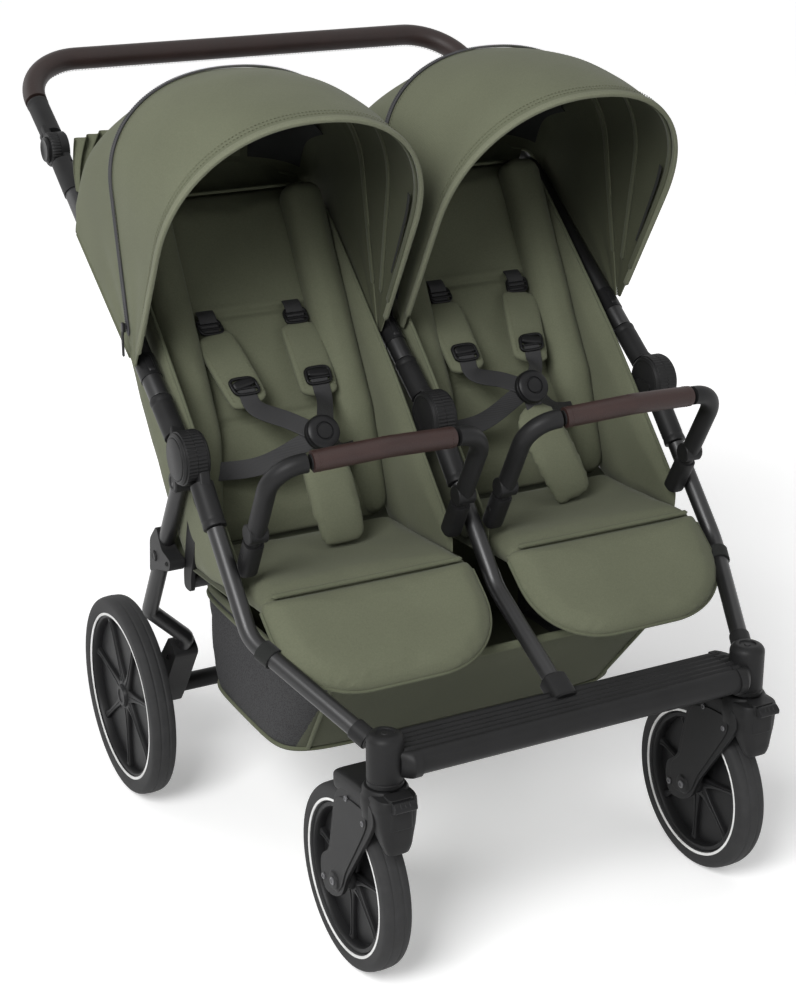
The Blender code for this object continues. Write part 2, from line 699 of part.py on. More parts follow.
def add_rear(carrier, material, plastic, tyre, rim):
    """Rear legs, axle beam, brake pedal and rear wheels, all folding about the rear pivots."""
    fold = pivot("rear_leg_axis", *REAR_PIVOT, 0.0, carrier)
    py, pz = REAR_PIVOT
    axle = Vector((0.0, REAR_AXLE_Y, REAR_WHEEL_R))
    neck = Vector((0.0, *HOUSING_TOP))
    run = (axle - neck).normalized()
    across = Vector((0.0, -run.z, run.y))
    for side, x in SIDES:
        eye_centre = Vector((x * REAR_LEG_X, py, pz))
        knee = Vector((x * REAR_LEG_X, *REAR_KNEE))
        foot = Vector((x * HOUSING_X, 0.0, 0.0)) + neck - run * CLEAR
        path = rounded_path([eye_centre, knee, foot - run * 0.018, foot], 0.014, 3)
        eye = rod((x * (LUG_X[1] + CLEAR), py, pz), (x * (REAR_LEG_X + 0.012), py, pz), EYE_R, 14)
        down = (knee - eye_centre).normalized()
        middle = eye_centre + down * BRACKET_AT
        bracket = [
            (middle.y - 0.010, middle.z + 0.046),
            (middle.y + 0.016, middle.z + 0.020),
            (middle.y + 0.022, middle.z - 0.030),
            (middle.y - 0.004, middle.z - 0.018),
            (middle.y - 0.052, middle.z - 0.004),
            (middle.y - 0.058, middle.z + 0.012),
            (middle.y - 0.026, middle.z + 0.018),
        ]
        plate = prism(bracket, x * (REAR_LEG_X - 0.009), x * (REAR_LEG_X + 0.0125))
        hole_ends = [x * (LUG_X[0] - 0.010), x * (REAR_LEG_X + 0.006 + CLEAR)]
        hole = rod((hole_ends[0], py, pz), (hole_ends[1], py, pz), BORE_R)
        leg = tube(path, REAR_LEG_R)
        piece(f"rear_leg_{side}", leg, material, fold, adds=(eye, plate), cuts=(hole,))
    beam_reach = HOUSING_X + 0.010
    beam = rod((-beam_reach, axle.y, axle.z), (beam_reach, axle.y, axle.z), AXLE_BEAM_R, 14)
    adds = []
    for _, x in SIDES:
        corners = [
            neck - across * 0.0155,
            axle - across * 0.022 - run * 0.030,
            axle - across * 0.022 + run * 0.014,
            axle - across * 0.008 + run * 0.024,
            axle + across * 0.008 + run * 0.024,
            axle + across * 0.022 + run * 0.014,
            axle + across * 0.022 - run * 0.030,
            neck + across * 0.0155,
        ]
        ends = (x * (HOUSING_X - HOUSING_HALF), x * (HOUSING_X + HOUSING_HALF))
        adds.append(prism([(c.y, c.z) for c in corners], *ends))
        flat = REAR_WHEEL_X - REAR_TYRE_W / 2 + HUB_INSET - CLEAR
        for end, radius in ((flat, 0.0105), (flat + STUB_LENGTH, PIN_R)):
            adds.append(rod((x * HOUSING_X, axle.y, axle.z), (x * end, axle.y, axle.z), radius))
    piece("rear_axle", beam, plastic, fold, adds=adds)
    root_y = REAR_AXLE_Y + AXLE_BEAM_R + CLEAR + PEDAL_ROOT_R
    pedal_axis = pivot("brake_pedal_axis", root_y, REAR_WHEEL_R, 0.0, fold)
    pedal_outline = []
    for number in range(7):
        turn = math.radians(75 + 210 * number / 6)
        reach = Vector((math.cos(turn), math.sin(turn))) * PEDAL_ROOT_R
        pedal_outline.append((root_y + reach.x, REAR_WHEEL_R + reach.y))
    pedal_outline += [
        (root_y + 0.020, REAR_WHEEL_R - 0.002),
        (root_y + 0.060, REAR_WHEEL_R + 0.002),
        (root_y + 0.060, REAR_WHEEL_R + 0.009),
        (root_y + 0.020, REAR_WHEEL_R + 0.009),
    ]
    piece("brake_pedal", prism(pedal_outline, -PEDAL_HALF, PEDAL_HALF), plastic, pedal_axis)
    for side, x in SIDES:
        centre = (x * REAR_WHEEL_X, REAR_AXLE_Y, REAR_WHEEL_R)
        axis = pivot(f"rear_wheel_{side}_axis", REAR_AXLE_Y, REAR_WHEEL_R, centre[0], fold)
        inner = REAR_WHEEL_X - REAR_TYRE_W / 2
        bore = (x * inner, x * (inner + HUB_INSET + STUB_LENGTH))
        add_wheel("rear", side, axis, centre, REAR_TYRE_W, tyre, rim, bore)


def add_seat_bar(carrier, material):
    reach = LUG_X[0] - CLEAR
    bar = rod((-reach, *SEAT_BAR), (reach, *SEAT_BAR), SEAT_BAR_R)
    piece("seat_crossbar", bar, material, carrier)


def swell(u, power=2.0):
    """0 at both ends of a share u, 1 in the middle."""
    return (1 - abs(2 * u - 1) ** power)


def add_seat_liner(side, x, carrier, material):
    """Seat pad with its crown and channels, and the two side wings sewn to it."""
    cx = x * SEAT_X
    fy, fz = SEAT_FRONT
    by, bz = SEAT_BACK

    def top(u, v):
        px = cx + PAD_HALF * (2 * u - 1)
        y = fy + (by - fy) * v
        crown = 0.007 * swell(u, 4) * swell(0.15 + 0.85 * v, 6)
        edge = 0.010 * (1 - swell(u, 8))
        return px, y, fz + (bz - fz) * v - PAD_EDGE_DROP + crown - edge

    def bottom(u, v):
        px = cx + (PAD_HALF - 0.004) * (2 * u - 1)
        y = fy + (by - fy) * v
        return px, y, fz + (bz - fz) * v - PAD_T

    pad = grid_solid(top, bottom, 8, 6)
    wing = [(y, HINGE_Z + rise) for y, rise in WING]
    wings = [
        prism(wing, cx + s * (PAD_HALF - 0.0015), cx + s * (PAD_HALF + WING_T)) for s in (-1, 1)
    ]
    piece(f"seat_liner_{side}", pad, material, carrier, adds=wings)


def along_back(distance, forward=0.0):
    """(y, z) up the front face of a backrest, forward square to it."""
    c, s = math.cos(BACK_ANGLE), math.sin(BACK_ANGLE)
    y = SEAT_BACK[0] + 2 * CLEAR + distance * c - forward * s
    z = SEAT_BACK[1] - PAD_EDGE_DROP + CLEAR + distance * s + forward * c
    return y, z


def add_backrest(side, x, carrier, material):
    """Backrest pad with a crown, drawn-in sides and two sewn cross seams."""
    cx = x * SEAT_X
    seams = (0.36, 0.62)

    def face(u, v):
        narrow = 1 - 0.05 * v
        px = cx + BACK_HALF * narrow * (2 * u - 1)
        seam = sum(math.exp(-(((v - s) / 0.02) ** 2)) for s in seams)
        crown = 0.008 * swell(u, 4) * swell(v, 8) - 0.003 * seam - 0.008 * (1 - swell(u, 8))
        return (px, *along_back(BACK_LENGTH * v, crown))

    def rear(u, v):
        px = cx + (BACK_HALF - 0.004) * (1 - 0.05 * v) * (2 * u - 1)
        return (px, *along_back(BACK_LENGTH * v, -BACK_T))

    axis = pivot(f"recline_{side}_axis", *along_back(0.0, -BACK_T / 2), cx, carrier)
    piece(f"backrest_{side}", grid_solid(face, rear, 6, 14), material, axis)


def add_leg_rest(side, x, carrier, material):
    """Leg rest pad with rounded lower corners, hinged at the front edge of the seat."""
    cx = x * SEAT_X
    start = Vector((0, SEAT_FRONT[0] - CLEAR, SEAT_FRONT[1] - 0.007))
    run = Vector((0, *LEG_REST_END)) - start
    outward = Vector((0, run.z, -run.y)).normalized()
    depth = Vector((0, 0, -LEG_REST_T))

    def half(v):
        lean = max(0.0, (v - 1 + LEG_REST_CORNER) / LEG_REST_CORNER)
        return LEG_REST_HALF * (0.25 + 0.75 * math.sqrt(max(0.0, 1 - lean**2.2)))

    def front(u, v):
        edge = Vector((cx + half(v) * (2 * u - 1), 0, -0.006 * (1 - swell(u, 8))))
        return edge + start + run * v + outward * 0.008 * swell(u, 4) * swell(v, 4)

    def back(u, v):
        side_gap = 0.004 * (2 * u - 1)
        return Vector((cx + half(v) * (2 * u - 1) - side_gap, 0, 0)) + start + run * v + depth

    axis = pivot(f"leg_rest_{side}_axis", start.y, start.z, cx, carrier)
    piece(f"leg_rest_{side}", grid_solid(front, back, 6, 8), material, axis)


def add_bumper(side, x, carrier, plastic, leather):
    """Bumper bar across the seat on two pivots, with a leather cover on its middle."""
    cx = x * SEAT_X
    py, pz = BUMPER_PIVOT
    ty, tz = BUMPER_TOP
    axis = pivot(f"bumper_{side}_axis", py, pz, cx, carrier)
    bow = (ty - 0.016, tz + 0.010)
    corners = [
        (cx - BUMPER_HALF, py, pz),
        (cx - BUMPER_HALF, ty, tz),
        (cx, *bow),
        (cx + BUMPER_HALF, ty, tz),
        (cx + BUMPER_HALF, py, pz),
    ]
    path = rounded_path(corners, BUMPER_CORNER_R, 4)
    thin = tube(path, COVER_BORE - CLEAR)
    cut_at = COVER_HALF + 2 * CLEAR
    arms = []
    for s in (-1, 1):
        whole = [p for p in path if (p.x - cx) * s > cut_at + 0.002]
        inner = min(whole, key=lambda p: (p.x - cx) * s)
        others = [p for p in path if (p.x - cx) * s < (inner.x - cx) * s]
        nearest = max(others, key=lambda p: (p.x - cx) * s)
        share = (cut_at - (nearest.x - cx) * s) / ((inner.x - nearest.x) * s)
        edge = nearest + (inner - nearest) * share
        whole = [edge] + (whole if s > 0 else whole[::-1])
        arms.append(tube(whole, BUMPER_R))
    collars = []
    for s in (-1, 1):
        run = Vector((0, ty - py, tz - pz)).normalized()
        base = Vector((cx + s * BUMPER_HALF, py, pz))
        collars.append(rod(base - run * 0.012, base + run * 0.055, BUMPER_R + 0.0008))
    piece(f"bumper_bar_{side}", thin, plastic, axis, adds=(*arms, *collars))
    inside = [p for p in path if abs(p.x - cx) < COVER_HALF - 0.002]
    ends = []
    for s in (-1, 1):
        near = max(inside, key=lambda p: (p.x - cx) * s)
        beyond = [p for p in path if (p.x - near.x) * s > 1e-6]
        far = min(beyond, key=lambda p: (p.x - cx) * s)
        share = (COVER_HALF - (near.x - cx) * s) / ((far.x - near.x) * s)
        ends.append(near + (far - near) * share)
    outer = [ends[0], *inside, ends[1]]
    piece(
        f"bumper_cover_{side}",
        tube(outer, COVER_R),
        leather,
        axis,
        cuts=(tube(path, COVER_BORE),),
    )


def strap(points, width, thickness, face):
    """A flat strap through points: a strip of this width, its thick side towards face."""
    points = [Vector(p) for p in points]
    face = Vector(face).normalized()

    def place(u, v, lift):
        at = min(int(v * (len(points) - 1)), len(points) - 2)
        share = v * (len(points) - 1) - at
        middle = points[at].lerp(points[at + 1], share)
        run = (points[at + 1] - points[at]).normalized()
        across = run.cross(face).normalized()
        return middle + across * width * (u - 0.5) + face * lift

    return grid_solid(
        lambda u, v: place(u, v, thickness),
        lambda u, v: place(u, v, 0.0),
        1,
        len(points) - 1,
    )


def add_harness(side, x, carrier, seat_frame, fabric, plastic):
    """Shoulder, waist and crotch straps with their pads, round a buckle."""
    cx = x * SEAT_X
    face = Vector((0, -math.sin(BACK_ANGLE), math.cos(BACK_ANGLE)))
    buckle = Vector((cx, *BUCKLE))
    behind = buckle - face * 0.013
    plate = rod(buckle - face * 0.0135, buckle - face * 0.0085, 0.021, 14)
    adds = []
    for s in (-1, 1):
        top = Vector((cx + s * 0.062, *along_back(SLOT_AT, 0.0076)))
        middle = Vector((cx + s * 0.054, *along_back(SLOT_AT - 0.085, 0.024)))
        low = Vector((cx + s * 0.042, *along_back(SLOT_AT - 0.145, 0.050)))
        adds.append(strap([top, middle, low], 0.046, 0.012, face))
        adds.append(strap([low + face * 0.004, behind], 0.024, 0.004, face))
        waist = Vector((cx + s * 0.118, *along_back(0.055, 0.010)))
        adds.append(strap([waist, behind], 0.024, 0.004, face))
    foot = Vector((cx, CROTCH_FOOT_Y, SEAT_FRONT[1] - 0.0024))
    head = Vector((cx, *CROTCH_HEAD))
    adds.append(strap([behind, head + Vector((0, 0, 0.0015))], 0.024, 0.004, face))
    piece(f"harness_{side}", plate, fabric, carrier, adds=adds)
    disc = rod(buckle - face * (0.0085 - CLEAR), buckle + face * 0.009, 0.0235, 16, 0.002)
    piece(f"buckle_{side}", disc, plastic, carrier)
    run = (head - foot).normalized()
    out = Vector((0, -run.z, run.y))
    length = (head - foot).length

    def pad(lift):
        def place(u, v):
            across = 0.036 * (0.72 + 0.28 * swell(v, 3)) * (2 * u - 1)
            puff = lift * (0.35 + 0.65 * swell(u, 4) * swell(v, 4))
            return foot + Vector((across, 0, 0)) + run * length * v + out * puff
        return place

    piece(f"crotch_pad_{side}", grid_solid(pad(0.008), pad(-0.008), 6, 7), fabric, seat_frame)


def canopy_section(u, height, share, half):
    """(x from the middle, radius from the pivot line) along one bow, u from 0 to 1.

    A bow goes straight up its side to a share of its height, and over in a rounded arch.
    """
    side = height * share
    foot = 0.18
    if u < foot:
        return -half, CANOPY_EAR_R * 0.5 + (side - CANOPY_EAR_R * 0.5) * u / foot
    if u > 1 - foot:
        return half, CANOPY_EAR_R * 0.5 + (side - CANOPY_EAR_R * 0.5) * (1 - u) / foot
    turn = math.pi * (u - foot) / (1 - 2 * foot)
    c, s = -math.cos(turn), math.sin(turn)
    power = 2 / CANOPY_CURVE
    px = half * math.copysign(abs(c) ** power, c)
    return px, side + (height - side) * abs(s) ** power


def add_canopy(side, x, carrier, material):
    """Rear canopy panel on the upper frame, and the front panel that turns back over it."""
    py, pz = CANOPY_PIVOT
    outer = UPPER_TUBE_X + CLAMP_R + 2 * CLEAR + 2 * CANOPY_T
    inner = CLAMP_R + CLEAR
    cx = x * (outer + inner) / 2
    half = (outer - inner) / 2

    def panel(first, last, height_at, share_at, inset, across, along):
        def surface(depth):
            def place(u, v):
                turn = math.radians(first + (last - first) * v)
                height = height_at(v, turn) - depth
                px, reach = canopy_section(u, height, share_at(v), half - inset - depth)
                return cx + px, py + reach * math.cos(turn), pz + reach * math.sin(turn)
            return place

        return grid_solid(surface(0.0), surface(CANOPY_T), across, along)

    def front_height(v, turn):
        return CANOPY_FRONT_R + (CANOPY_ZIP_R - CANOPY_FRONT_R) * v - CANOPY_SLACK * swell(v)

    def rear_height(v, turn):
        return min(CANOPY_REAR_R, CANOPY_DEPTH / max(math.cos(turn), 0.2))

    def ears(inset):
        low, high = half - inset - CANOPY_T + CLEAR, half - inset - CLEAR
        return [
            rod((cx + s * low, py, pz), (cx + s * high, py, pz), CANOPY_EAR_R, 12) for s in (-1, 1)
        ]

    step = CANOPY_T + CLEAR
    rear = panel(
        ZIP_ANGLE - 0.5,
        REAR_ANGLE,
        rear_height,
        lambda v: CANOPY_SHARES[1] + (CANOPY_SHARES[2] - CANOPY_SHARES[1]) * v**2,
        step,
        12,
        5,
    )
    piece(f"canopy_rear_{side}", rear, material, carrier, adds=ears(step))
    fold = pivot(f"canopy_{side}_axis", py, pz, cx, carrier)
    front = panel(
        RIM_ANGLE,
        ZIP_ANGLE,
        front_height,
        lambda v: CANOPY_SHARES[0] + (CANOPY_SHARES[1] - CANOPY_SHARES[0]) * v,
        0.0,
        12,
        5,
    )
    piece(f"canopy_front_{side}", front, material, fold, adds=ears(0.0))


def add_basket(carrier, material):
    """Open basket with a front wall that leans forward, hung from the front tubes by tabs."""
    def shell(inset, rise):
        half = BASKET_HALF - inset
        floor = BASKET_BOTTOM + rise
        lid = BASKET_TOP + (0.01 if rise else 0.0)
        front_low = BASKET_FRONT_BOTTOM + inset
        front_high = BASKET_FRONT_TOP + inset
        slope = (front_high - front_low) / (BASKET_TOP - BASKET_BOTTOM)
        outline = [
            (front_low + slope * rise, floor),
            (front_low + slope * (lid - BASKET_BOTTOM), lid),
            (BASKET_REAR - inset, lid),
            (BASKET_REAR - inset, floor),
        ]
        return prism(outline, -half, half)

    tabs = []
    for _, x in SIDES:
        share = (BASKET_FRONT_TOP + 0.012 - FRONT_BEND[0]) / (CASTOR_Y - FRONT_BEND[0])
        tx = FRONT_TUBE_X + (CASTOR_X - FRONT_TUBE_X) * share
        fall = (FRONT_BEND[1] - FRONT_FOOT_Z) / (FRONT_BEND[0] - CASTOR_Y)
        under = FRONT_TUBE_R * math.hypot(1, fall) + 0.0068 * abs(fall) + CLEAR
        tz = FRONT_BEND[1] + (FRONT_FOOT_Z - FRONT_BEND[1]) * share - under
        near, far = BASKET_FRONT_TOP + 0.002, BASKET_FRONT_TOP + 0.026
        arm_ends = [
            (x * (BASKET_HALF - 0.006), near, BASKET_TOP - 0.030),
            (x * (tx + 0.006), far, BASKET_TOP - 0.004),
        ]
        post_ends = [
            (x * (tx - 0.006), near + 0.002, BASKET_TOP - 0.012),
            (x * (tx + 0.005), far - 0.006, tz),
        ]
        tabs += [block(*arm_ends, 0.001), block(*post_ends, 0.001)]
    piece(
        "basket",
        shell(0.0, 0.0),
        material,
        carrier,
        adds=tabs,
        cuts=(shell(BASKET_WALL, BASKET_WALL),),
    )


def build():
    clear_scene()
    black = finish("black_plastic", (0.028, 0.028, 0.030), 0.45)
    frame_black = finish("black_paint", (0.020, 0.020, 0.022), 0.30, 0.4)
    rubber = finish("tyre_rubber", (0.022, 0.022, 0.023), 0.75)
    rim = finish("rim_plastic", (0.030, 0.030, 0.032), 0.50)
    olive = finish("olive_fabric", (0.105, 0.112, 0.072), 0.90)
    leather = finish("brown_leather", (0.060, 0.030, 0.024), 0.50)

    root = bpy.data.objects.new("pushchair", None)
    bpy.context.collection.objects.link(root)
    root["place"] = (0.0, 0.0, 0.0)
    root.location = (0.0, SHIFT_Y, 0.0)
    upper = pivot("frame_fold_axis", 0.0, HINGE_Z, 0.0, root)

    add_front_bar(root, black)
    for side, x in SIDES:
        add_castor(side, x, root, black, rubber, rim)
    add_hinges(root, upper, black)
    add_front_tubes(root, frame_black)
    add_upper_tubes(upper, frame_black)
    add_handle(upper, black, leather)
    add_rear(root, frame_black, black, rubber, rim)
    add_seat_bar(root, frame_black)
    for side, x in SIDES:
        add_seat_liner(side, x, root, olive)
        add_backrest(side, x, upper, olive)
        add_leg_rest(side, x, root, olive)
        add_bumper(side, x, root, black, leather)
        add_harness(side, x, upper, root, olive, black)
        add_canopy(side, x, upper, olive)
    add_basket(root, olive)


build()
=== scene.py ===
"""Looks of a side-by-side double pushchair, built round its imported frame.

Lengths are metres: X runs across, Y from front to rear, Z up. Shapes are worked out from a
Y zero on the frame hinge, and moved to the frame's own Y when they become meshes.
"""

import json
import logging
import math
from collections.abc import Callable, Sequence
from dataclasses import dataclass
from enum import Enum

import bmesh
import bpy
import numpy as np
from mathutils import Matrix, Vector
from numpy.typing import ArrayLike, NDArray

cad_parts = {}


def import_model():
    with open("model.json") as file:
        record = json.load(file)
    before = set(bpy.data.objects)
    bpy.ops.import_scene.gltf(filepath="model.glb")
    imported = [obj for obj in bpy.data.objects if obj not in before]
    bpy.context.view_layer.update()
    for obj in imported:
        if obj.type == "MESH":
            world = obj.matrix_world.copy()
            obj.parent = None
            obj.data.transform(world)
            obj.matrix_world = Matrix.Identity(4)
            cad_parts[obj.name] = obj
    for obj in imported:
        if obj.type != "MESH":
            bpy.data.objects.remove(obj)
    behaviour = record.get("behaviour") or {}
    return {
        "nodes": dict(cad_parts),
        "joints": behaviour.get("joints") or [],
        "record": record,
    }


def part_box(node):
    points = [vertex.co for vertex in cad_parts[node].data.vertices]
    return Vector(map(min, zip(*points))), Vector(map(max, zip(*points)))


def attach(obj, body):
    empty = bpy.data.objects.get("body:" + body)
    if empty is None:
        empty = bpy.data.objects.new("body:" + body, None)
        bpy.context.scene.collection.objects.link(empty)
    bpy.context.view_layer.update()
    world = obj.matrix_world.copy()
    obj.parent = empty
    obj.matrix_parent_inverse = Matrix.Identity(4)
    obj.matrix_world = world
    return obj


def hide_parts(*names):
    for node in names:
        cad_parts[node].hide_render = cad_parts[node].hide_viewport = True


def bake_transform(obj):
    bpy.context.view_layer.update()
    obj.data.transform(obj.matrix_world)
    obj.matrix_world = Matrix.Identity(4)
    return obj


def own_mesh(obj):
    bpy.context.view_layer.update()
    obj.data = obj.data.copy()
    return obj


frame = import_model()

Array = NDArray[np.float64]
LOG = logging.getLogger("pushchair")
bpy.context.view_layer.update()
JOINTS = {joint["name"]: joint for joint in frame["joints"]}
HINGE_Y, HINGE_Z = JOINTS["frame_fold"]["pos_m"][1:]
IMAGE_WIDTH, IMAGE_HEIGHT = 796, 1000


class Side(Enum):
    """The two halves of the pushchair, by the sign of X."""

    LEFT = -1
    RIGHT = 1

    @property
    def label(self) -> str:
        """The side's word in the names of pieces."""
        return self.name.lower()


class Axis(Enum):
    """The axis that a round piece is turned about."""

    X = (1.0, 0.0, 0.0)
    Z = (0.0, 0.0, 1.0)


# Surfaces.


@dataclass
class Form:
    """Points and faces of one or more surfaces, before they become a mesh."""

    points: Array
    faces: list[list[int]]

    def __add__(self, other: "Form") -> "Form":
        """Both surfaces in one."""
        shift = len(self.points)
        moved = [[index + shift for index in face] for face in other.faces]
        return Form(np.vstack([self.points, other.points]), self.faces + moved)

    def moved(self, offset: ArrayLike) -> "Form":
        """The same surface somewhere else."""
        return Form(self.points + np.asarray(offset, float), self.faces)


def joined(forms: Sequence[Form]) -> Form:
    """Several surfaces in one."""
    shifts = np.cumsum([0, *(len(form.points) for form in forms)])
    faces: list[list[int]] = []
    for form, shift in zip(forms, shifts):
        faces += [[index + int(shift) for index in face] for face in form.faces]
    return Form(np.vstack([form.points for form in forms]), faces)


def grid(points: Array, wrap_u: bool = False, wrap_v: bool = False, caps: bool = False) -> Form:
    """A surface through a grid of points: each cell of four neighbours is one face.

    Args:
        points: The grid, of shape (v, u, 3).
        wrap_u: Whether the last column meets the first.
        wrap_v: Whether the last row meets the first.
        caps: Whether the first and the last row are closed with a face each.
    """
    rows, columns = points.shape[:2]
    index = np.arange(rows * columns).reshape(rows, columns)
    first, last = index[0], index[-1]
    if wrap_u:
        index = np.hstack([index, index[:, :1]])
    if wrap_v:
        index = np.vstack([index, index[:1]])
    cells = [index[:-1, :-1], index[:-1, 1:], index[1:, 1:], index[1:, :-1]]
    faces = np.stack(cells, -1).reshape(-1, 4).tolist()
    if caps:
        faces += [first[::-1].tolist(), last.tolist()]
    return Form(points.reshape(-1, 3), faces)


def shell(outer: Array, inner: Array) -> Form:
    """A closed sheet between two grids of the same shape, joined along their four edges."""
    rows, columns = outer.shape[:2]
    top = np.arange(rows * columns).reshape(rows, columns)
    low = top + rows * columns
    cells = [top[:-1, :-1], top[:-1, 1:], top[1:, 1:], top[1:, :-1]]
    faces = np.stack(cells, -1).reshape(-1, 4).tolist()
    cells = [low[:-1, :-1], low[1:, :-1], low[1:, 1:], low[:-1, 1:]]
    faces += np.stack(cells, -1).reshape(-1, 4).tolist()
    sides = [(top[0], low[0]), (low[-1], top[-1])]
    sides += [(low[:, 0], top[:, 0]), (top[:, -1], low[:, -1])]
    for a, b in sides:
        faces += np.stack([a[:-1], b[:-1], b[1:], a[1:]], -1).tolist()
    return Form(np.vstack([outer.reshape(-1, 3), inner.reshape(-1, 3)]), faces)


def unit(vectors: Array) -> Array:
    """Vectors scaled to a length of one."""
    return vectors / np.maximum(np.linalg.norm(vectors, axis=-1, keepdims=True), 1e-12)


def circle(radius: float, steps: int = 28) -> Array:
    """Points of a circle, for a swept section."""
    turn = np.arange(steps) * math.tau / steps
    return radius * np.stack([np.cos(turn), np.sin(turn)], -1)


def rounded_box(half_a: float, half_b: float, power: float = 4.0, steps: int = 36) -> Array:
    """A box with round corners: |a|^p + |b|^p = 1, for a swept section."""
    turn = np.arange(steps) * math.tau / steps
    c, s = np.cos(turn), np.sin(turn)
    a = np.sign(c) * np.abs(c) ** (2 / power)
    b = np.sign(s) * np.abs(s) ** (2 / power)
    return np.stack([half_a * a, half_b * b], -1)


def route(corners: ArrayLike, radius: float, steps: int = 12) -> Array:
    """A line through corners, with an arc of this radius in place of each inner corner."""
    corners = np.asarray(corners, float)
    path = [corners[:1]]
    for before, here, after in zip(corners, corners[1:], corners[2:]):
        inward, outward = unit(before - here), unit(after - here)
        turn = math.pi - math.acos(float(np.clip(inward @ outward, -1, 1)))
        middle = here + unit(inward + outward) * radius / math.cos(turn / 2)
        first = here + inward * radius * math.tan(turn / 2) - middle
        tangent = -inward * radius
        angle = np.linspace(0, turn, steps + 1)[:, None]
        path.append(middle + np.cos(angle) * first + np.sin(angle) * tangent)
    path.append(corners[-1:])
    return np.vstack(path)


def evenly(path: Array, count: int) -> Array:
    """The same line with points at even distances."""
    steps = np.linalg.norm(np.diff(path, axis=0), axis=1)
    along = np.concatenate([[0], np.cumsum(steps)])
    want = np.linspace(0, along[-1], count)
    return np.stack([np.interp(want, along, path[:, k]) for k in range(3)], -1)


def curve_through(points: ArrayLike, count: int) -> Array:
    """A smooth line through points: on each stretch a cubic whose slope at a point is half
    the step between that point's neighbours."""
    points = np.asarray(points, float)
    padded = np.vstack([2 * points[0] - points[1], points, 2 * points[-1] - points[-2]])
    share = np.linspace(0, len(points) - 1, count)
    at = np.minimum(share.astype(int), len(points) - 2)
    t = (share - at)[:, None]
    a, b, c, d = (padded[at + k] for k in range(4))
    return 0.5 * (
        2 * b + (c - a) * t + (2 * a - 5 * b + 4 * c - d) * t**2 + (3 * b - a - 3 * c + d) * t**3
    )


def frames(path: Array, normal: ArrayLike | None = None) -> tuple[Array, Array, Array]:
    """Directions along a line, square to it in its plane, and square to both.

    Args:
        path: Points of the line.
        normal: What the third direction leans to. The line's own flattest direction if None.
    """
    along = unit(np.gradient(path, axis=0))
    if normal is None:
        centred = path - path.mean(0)
        flat = np.linalg.svd(centred)[2][2]
        if np.linalg.norm(np.cross(along[0], along[len(path) // 2])) < 1e-4:
            flat = np.cross(along[0], [0.31, 0.22, 0.92])
    else:
        flat = np.asarray(normal, float)
    up = unit(flat - along * np.sum(along * flat, -1, keepdims=True))
    return along, np.cross(up, along), up


def sweep(
    path: Array,
    section: Array,
    normal: ArrayLike | None = None,
    scale: Array | None = None,
    dome: float = 0.0,
) -> Form:
    """A section carried along a line, with closed ends.

    Each ring is the line's point plus the section's first number across and its second up.

    Args:
        path: Points of the line.
        section: Points (across, up), one outline or one for each point of the line.
        normal: The direction that the section's up leans to.
        scale: A size for each ring.
        dome: Length over which each end is rounded off.
    """
    _, across, up = frames(path, normal)
    outline = np.broadcast_to(section, (len(path), *section.shape[-2:]))
    size = np.ones(len(path)) if scale is None else scale
    if dome:
        steps = np.linalg.norm(np.diff(path, axis=0), axis=1)
        along = np.concatenate([[0], np.cumsum(steps)])
        near = np.minimum(along, along[-1] - along) / dome
        size = size * np.sqrt(np.clip(1 - (1 - np.minimum(near, 1)) ** 2, 1e-4, 1))
    outline = outline * size[:, None, None]
    rings = (
        path[:, None]
        + across[:, None] * outline[..., :1]
        + up[:, None] * outline[..., 1:]
    )
    return grid(rings, wrap_u=True, caps=True)


def rod(
    start: ArrayLike, end: ArrayLike, radius: float, edge: float = 0.0008, steps: int = 32
) -> Form:
    """A round bar between two points, its rims rounded by edge."""
    start, end = np.asarray(start, float), np.asarray(end, float)
    length = float(np.linalg.norm(end - start))
    turn = np.linspace(0, math.pi / 2, 4)
    rim = np.stack([radius - edge + edge * np.sin(turn), edge - edge * np.cos(turn)], -1)
    far = rim[::-1] * [1, -1] + [0, length]
    profile = np.vstack([[[0, 0]], rim, far, [[0, length]]])
    return lathe(profile, start, end - start, steps)


def lathe(
    profile: ArrayLike,
    centre: ArrayLike,
    axis: ArrayLike | Axis,
    steps: int = 64,
    ring: bool = False,
) -> Form:
    """A profile of (radius, distance along the axis) turned once round the axis."""
    profile = np.asarray(profile, float)
    direction = unit(np.asarray(axis.value if isinstance(axis, Axis) else axis, float))
    helper = np.array([0.0, 0.0, 1.0]) if abs(direction[2]) < 0.9 else np.array([0.0, 1.0, 0.0])
    a = unit(np.cross(helper, direction))
    b = np.cross(direction, a)
    turn = (np.arange(steps) * math.tau / steps)[None, :, None]
    radial = a * np.cos(turn) + b * np.sin(turn)
    points = (
        np.asarray(centre, float)
        + profile[:, :1, None] * radial
        + profile[:, 1:, None] * direction
    )
    return grid(points, wrap_u=True, wrap_v=ring)


def plate(outline: ArrayLike, end: float, other: float) -> Form:
    """A closed outline of (y, z) points, extruded along X between two ends."""
    outline = np.asarray(outline, float)
    low, high = sorted((end, other))
    sides = [np.column_stack([np.full(len(outline), x), outline]) for x in (low, high)]
    return grid(np.stack(sides), wrap_u=True, caps=True)


def softened(outline: ArrayLike, radius: float, steps: int = 5) -> Array:
    """A closed outline with each corner replaced by an arc, or a smaller one on a short side."""
    outline = np.asarray(outline, float)
    before, after = np.roll(outline, 1, 0), np.roll(outline, -1, 0)
    inward, outward = before - outline, after - outline
    reach = np.minimum(
        radius, 0.45 * np.minimum(np.linalg.norm(inward, axis=1), np.linalg.norm(outward, axis=1))
    )[:, None]
    first, last = outline + unit(inward) * reach, outline + unit(outward) * reach
    t = np.linspace(0, 1, steps + 1)[None, :, None]
    bent = (1 - t) ** 2 * first[:, None] + 2 * t * (1 - t) * outline[:, None] + t**2 * last[:, None]
    return bent.reshape(-1, outline.shape[1])


